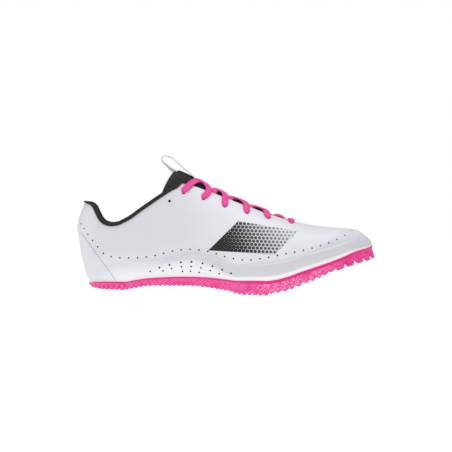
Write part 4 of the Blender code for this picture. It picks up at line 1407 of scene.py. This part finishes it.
def make_binding(material):
    end = float(turn_at(BINDING_END))
    around = np.linspace(-end, end, BINDING_STEPS)
    angle = edge_angle(around)
    edge = last_point(around, angle)
    normal = outward(around, angle)
    run = runs_along(edge)
    down = unit(np.cross(normal, run))
    down = np.where(down[:, 2:] > 0, -down, down)
    walked = walked_along(edge)
    from_end = np.minimum(walked, walked[-1] - walked)
    thin = BINDING_TIP + (1 - BINDING_TIP) * ease(from_end / BINDING_TAPER)
    thin = thin * (BINDING_BACK + (1 - BINDING_BACK) * ease(np.abs(around) / 0.14))
    thin = thin[:, None]
    rings = []
    out_near, in_near = GAP, WALL + LINING_GAP
    middle = (out_near - in_near) / 2
    reach = (out_near + in_near) / 2 + BINDING

    def leg(share, lift):
        spot = slide(around, angle, down * BINDING_WIDTH * thin * share)
        return skin(*spot, np.full(len(around), lift))

    for share in (1.0, 0.93, 0.6, 0.3):
        rings.append(leg(share, out_near + BINDING * (LEG_TIP if share == 1.0 else 1.0)))
    for k in range(9):
        turn = math.pi * k / 8
        rings.append(edge + normal * (middle + reach * math.cos(turn))
                     - down * (GAP + BINDING) * thin * math.sin(turn))
    for share in (0.3, 0.6, 0.93, 1.0):
        rings.append(leg(share, -in_near - BINDING * (LEG_TIP if share == 1.0 else 1.0)))
    rings.append(leg(1.0, -in_near + 0.0001))
    rings.append(edge + normal * (-in_near + 0.0001) - down * GAP)
    rings.append(edge + normal * (out_near - 0.0001) - down * GAP)
    rings.append(leg(1.0, out_near - 0.0001))
    rings = np.stack(rings, axis=1)
    binding = swept_piece("collar_band", rings, walked, np.linspace(0, 0.014, rings.shape[1]),
                          material)
    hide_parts("collar_binding")
    return binding


band_finish = knit_textile("band_textile", colour(24, 22, 19), colour(40, 38, 34), 0.0009,
                           0.00008)
collar_band = make_binding(band_finish)
print("collar_band:", len(collar_band.data.polygons), "faces")

# %% [markdown]
# ## Laces
#
# One flat woven lace goes up the throat in crosses. At each eyelet it comes out of the hole,
# climbs over the edge and the ridge, and dips under the other edge beside the eyelet above. The
# top pair goes into the top eyelets, and the lowest pair crosses low inside the throat. Each strand
# is a line of (place, breadth, height) points over the skin, smoothed and swept with a soft oval
# section. It is narrower where it is pulled through the hole.

# %% Lace strands
LACE_WIDTH = 0.0058
LACE_THICK = 0.0019
LACE_STOP = 0.0055
LACE_AHEAD = 0.0045
LACE_CLEAR = 0.0070
LACE_OVER = 0.55
RESTING = GAP + LACE_THICK / 2
STRAND_STEPS = 60
STRAND_SIDES = 18
PINCH = 0.42                  # share of its width that a strand loses in its hole
PINCH_LENGTH = 0.0050
INSIDE = -0.0024              # height of a strand's end inside the wall


def lace_point(place, breadth, height):
    around = side_of(breadth) * turn_at(place)
    angle = angle_at_breadth(around, np.abs(breadth))
    return skin(around, angle, height), outward(around, angle)


def lace_hole(row, side):
    around, angle = eyelet_spot(side, *row[:2])
    turn = np.abs(around)
    breadth = abs(last_point(around, angle)[..., 1] - crest_y(turn))
    return float(place_at(turn)), side * float(breadth)


def strand(sweep, knots, narrow_start, narrow_end=False):
    """One strand through (place, breadth, height) knots."""
    knots = np.array(knots, float)
    spots, _ = lace_point(knots[:, 0], knots[:, 1] + 1e-6, knots[:, 2])
    walked = walked_along(spots)
    marks = np.linspace(0.0, walked[-1], STRAND_STEPS)
    place, breadth, height = columns_at(walked, knots, marks)
    centre, normal = [softened(line, 3) for line in lace_point(place, breadth + 1e-6, height)]
    run = runs_along(centre)
    wide = unit(np.cross(normal, run))
    high = unit(np.cross(run, wide))
    width = np.full(STRAND_STEPS, LACE_WIDTH / 2)
    for left, narrow in ((marks, narrow_start), (marks[-1] - marks, narrow_end)):
        width = width * (1 - PINCH * ease(1 - left / PINCH_LENGTH) * narrow)
    turn, across, tall = soft_oval(STRAND_SIDES, 0.75, 0.80)
    rings = section_rings(centre, wide, high, across * width[:, None], tall * LACE_THICK / 2)
    sweep.add(rings, marks, turn / (2 * np.pi) * LACE_WIDTH * 2.2)


def half_at(place):
    return float(throat_half(np.array(place)))


def lace_edge(row, side):
    """Place and breadth where the strand from that eyelet climbs over the throat's edge."""
    place = row[0] + row[2] / UPPER_LENGTH
    return place, side * half_at(place)


def under_edge(place, side):
    """Knots of a strand that leaves the throat under its edge, from the inside out."""
    half = half_at(place)
    return [(place, side * (half - 0.0030), -0.0002), (place, side * (half - 0.0002), INSIDE),
            (place, side * (half + 0.0032), -0.0028)]


def out_of_hole(row, side):
    place, breadth = lace_hole(row, side)
    return [(place, breadth, INSIDE), (place, breadth - side * 0.0006, RESTING * 0.75)]


def crossing_way(above, below, side):
    """The line of one strand over the throat, as in the CAD model."""
    upper_edge = lace_edge(above, -side)
    lower_edge = lace_edge(below, side)
    ridge = ((upper_edge[0] + lower_edge[0]) / 2, 0.0)
    reach = upper_edge[0] + LACE_AHEAD / UPPER_LENGTH
    half = half_at(reach)
    if above == EYELETS[0]:
        return [lace_hole(below, side), lower_edge, ridge, upper_edge, lace_hole(above, -side)]
    if below == EYELETS[-1]:
        start = below[0] - LACE_CLEAR / UPPER_LENGTH
        reach += LACE_AHEAD / UPPER_LENGTH
        return [(start, side * (half_at(start) - LACE_STOP / 2)),
                (reach, -side * (half - LACE_STOP / 2))]
    return [lace_hole(below, side), lower_edge, ridge, (reach, -side * (half - LACE_STOP))]


def on_skin(way, hump, shares):
    """Knots over the skin at shares of the way, with a hump at its middle."""
    way = np.array(way)
    steps = np.hypot(np.diff(way[:, 0]) * UPPER_LENGTH, np.diff(way[:, 1]))
    walked = np.append(0.0, np.cumsum(steps))
    marks = walked[-1] * np.array(shares)
    place, breadth = columns_at(walked, way, marks)
    height = RESTING + hump * np.sin(np.pi * np.array(shares)) ** 2
    return list(zip(place, breadth, height))


def make_lace(material):
    lace = Sweep()
    for above, below in zip(EYELETS, EYELETS[1:]):
        for side in (-1, 1):
            way = crossing_way(above, below, side)
            hump = LACE_THICK * LACE_OVER if side < 0 else 0.0
            knots = on_skin(way, hump, (0.12, 0.24, 0.36, 0.5, 0.64, 0.76, 0.88))
            if below == EYELETS[-1]:
                knots = [(place, breadth, height - 0.0007) for place, breadth, height in knots]
                knots = under_edge(way[0][0], side)[::-1] + knots
            else:
                knots = out_of_hole(below, side) + knots
            if above == EYELETS[0]:
                knots += out_of_hole(above, -side)[::-1]
            else:
                knots += under_edge(way[-1][0], -side)
            strand(lace, knots, 1.0, float(above == EYELETS[0]))
    start, end = [np.array(lace_hole(EYELETS[-1], side)) for side in (-1, 1)]
    knots = out_of_hole(EYELETS[-1], -1)
    for share in (0.18, 0.5, 0.82):
        knots.append((*(start + (end - start) * share), RESTING))
    knots += out_of_hole(EYELETS[-1], 1)[::-1]
    strand(lace, knots, 1.0, 1.0)
    piece = link_piece("lace", lace.mesh("lace", 60.0), [material])
    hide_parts("lace_bar", *[f"lace_crossing_{k}" for k in range(1, 6)])
    return piece


lace_finish = knit_textile("lace_weave", colour(236, 42, 138), colour(247, 96, 172), 0.0011,
                           0.00022, 0.75)
lace_piece = make_lace(lace_finish)
print("lace:", len(lace_piece.data.polygons), "faces")

# %% [markdown]
# ## Pull loop
#
# A thin silver ribbon stands on the tongue as a loop. It is swept along listed points, with a
# slight twist near its rear foot, which shows the ribbon's face there as in the photograph.

# %% Pull loop
LOOP_WIDTH = 0.0090
LOOP_THICK = 0.0009
LOOP_REACH = 0.0140
LOOP_LANDING = 0.820
LOOP_STEPS = 110
LOOP_TWIST = 0.24             # turn of the ribbon at its rear foot, and along the rest, in radians
LOOP_TILT = 0.03
# back and up from the tongue's top, as shares of LOOP_REACH
LOOP_PATH = [
    (0.04, 0.06), (0.21, 0.17), (0.41, 0.34), (0.62, 0.51), (0.74, 0.65), (0.76, 0.78),
    (0.68, 0.90), (0.50, 0.93), (0.21, 0.86), (-0.18, 0.60), (-0.52, 0.31),
]


def make_loop(material):
    top = tongue_point(np.array(1.0), np.array(0.0001), np.array(0.0))
    knots = [top + np.array([-back, 0.0, up]) * LOOP_REACH for back, up in LOOP_PATH]
    knots.insert(0, top + np.array([0.0030, 0.0, -0.0012]))
    knots.append(tongue_point(np.array(LOOP_LANDING), np.array(0.0001),
                              np.array(-GAP - LOOP_THICK / 2)))
    knots = np.array(knots)
    walked = walked_along(knots)
    marks = np.linspace(0.0, walked[-1], LOOP_STEPS)
    centre = softened(np.stack(columns_at(walked, knots, marks), axis=1), 6)
    run = runs_along(centre)
    level = np.tile([0.0, 1.0, 0.0], (len(marks), 1))
    high = unit(np.cross(run, level))
    twist = LOOP_TWIST * (1 - ease((marks - 0.004) / 0.018))[:, None] + LOOP_TILT
    wide = level * np.cos(twist) + high * np.sin(twist)
    high = unit(np.cross(run, wide))
    turn, across, tall = soft_oval(16, 0.35, 0.6)
    rings = section_rings(centre, wide, high, across * LOOP_WIDTH / 2, tall * LOOP_THICK / 2)
    piece = swept_piece("ribbon_loop", rings, marks, turn / (2 * np.pi) * LOOP_WIDTH * 2,
                        material)
    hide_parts("pull_loop")
    return piece


ribbon_finish = knit_textile("ribbon_weave", colour(209, 211, 222), colour(222, 223, 232),
                             0.0008, 0.00006, 0.5)
ribbon_loop = make_loop(ribbon_finish)
print("ribbon_loop:", len(ribbon_loop.data.polygons), "faces")

# %% [markdown]
# ## Small things on the upper
#
# The spare eyelet has a raised ring pressed into the coating. The heel panel is sewn on with a
# row of short stitches, which are small enough to be swept as tiny pads along the seam.

# %% Ring and stitches
RING_RADIUS = 0.0030
RING_THICK = 0.0008
STITCH = 0.0014
STITCH_PITCH = 0.0021
THREAD_RADIUS = 0.00019
# along a stitch, its height over the skin and its thickness
STITCH_FORM = [(-0.5, -0.00010, 0.4), (-0.25, 0.00006, 1.0), (0.0, 0.00010, 1.0),
               (0.25, 0.00006, 1.0), (0.5, -0.00010, 0.4)]
SEAM_FOOT = (-0.0952, 0.0092)
SEAM_TOP = (-0.1270, 0.0488)


def seam_x(z):
    return SEAM_X - (z - SEAM_Z) * SEAM_LEAN


def make_rings(material):
    work = bmesh.new()
    for side in (-1, 1):
        spot = eyelet_spot(side, *SPARE_EYELET_SPOT)
        matrix = standing_on(Vector(skin(*spot)), Vector(outward(*spot)))
        profile = []
        for k in range(10):
            turn = 2 * math.pi * k / 10
            profile.append((RING_RADIUS + RING_THICK * 1.3 * math.cos(turn),
                            0.00005 + RING_THICK * 0.55 * math.sin(turn)))
        turned_ring(work, matrix, profile, 40)
    mesh = smooth_mesh(work, bpy.data.meshes.new("eyelet_rings"))
    return link_piece("eyelet_rings", mesh, [material])


def make_stitches(material):
    stitches = Sweep()
    length = math.dist(SEAM_FOOT, SEAM_TOP)
    count = int(length / STITCH_PITCH)
    turn = np.linspace(0, 2 * np.pi, 6, endpoint=False)
    end, lift, thin = np.array(STITCH_FORM).T
    thin = thin[:, None] * THREAD_RADIUS
    for side in (-1, 1):
        for k in range(count):
            share = (k + 0.5 + end * STITCH / STITCH_PITCH) / count
            z = SEAM_FOOT[1] + (SEAM_TOP[1] - SEAM_FOOT[1]) * share
            around, angle = find_spot(side, seam_x(z), z)
            centre = skin(around, angle, lift)
            normal = outward(around, angle)
            centre = centre - normal * hollow_depth(centre)[:, None]
            run = runs_along(centre)
            wide = unit(np.cross(normal, run))
            rings = section_rings(centre, wide, normal, np.cos(turn) * thin, np.sin(turn) * thin)
            stitches.add(rings, z, np.linspace(0, 0.001, 6))
    mesh = stitches.mesh("heel_stitches", 80.0)
    return link_piece("heel_stitches", mesh, [material])


thread = plain_textile("thread", colour(168, 166, 172), 3000.0, 0.00003, 0.7)
ring_finish = Finish("ring_coating", colour(222, 223, 228), roughness=0.42).material
eyelet_rings = make_rings(ring_finish)
heel_stitches = make_stitches(thread)
for piece in (eyelet_rings, heel_stitches):
    print(piece.name + ":", len(piece.data.polygons), "faces")

# %% [markdown]
# ## Insole and foam
#
# These two CAD solids keep their shape and get a better finish: a dark knitted liner, and the
# fine cells of foam, of which only a little shows through the collar.

# %% Finish of the carried solids
foam_finish = plain_textile("foam_cells", colour(224, 225, 230), 1400.0, 0.00012, 0.8)
liner_finish = plain_textile("liner_knit", colour(44, 44, 48), 700.0, 0.0003, 0.95)
for node, finish in (("midsole", foam_finish), ("insole", liner_finish)):
    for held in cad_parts[node].material_slots:
        held.material = finish
print("carried nodes dressed")
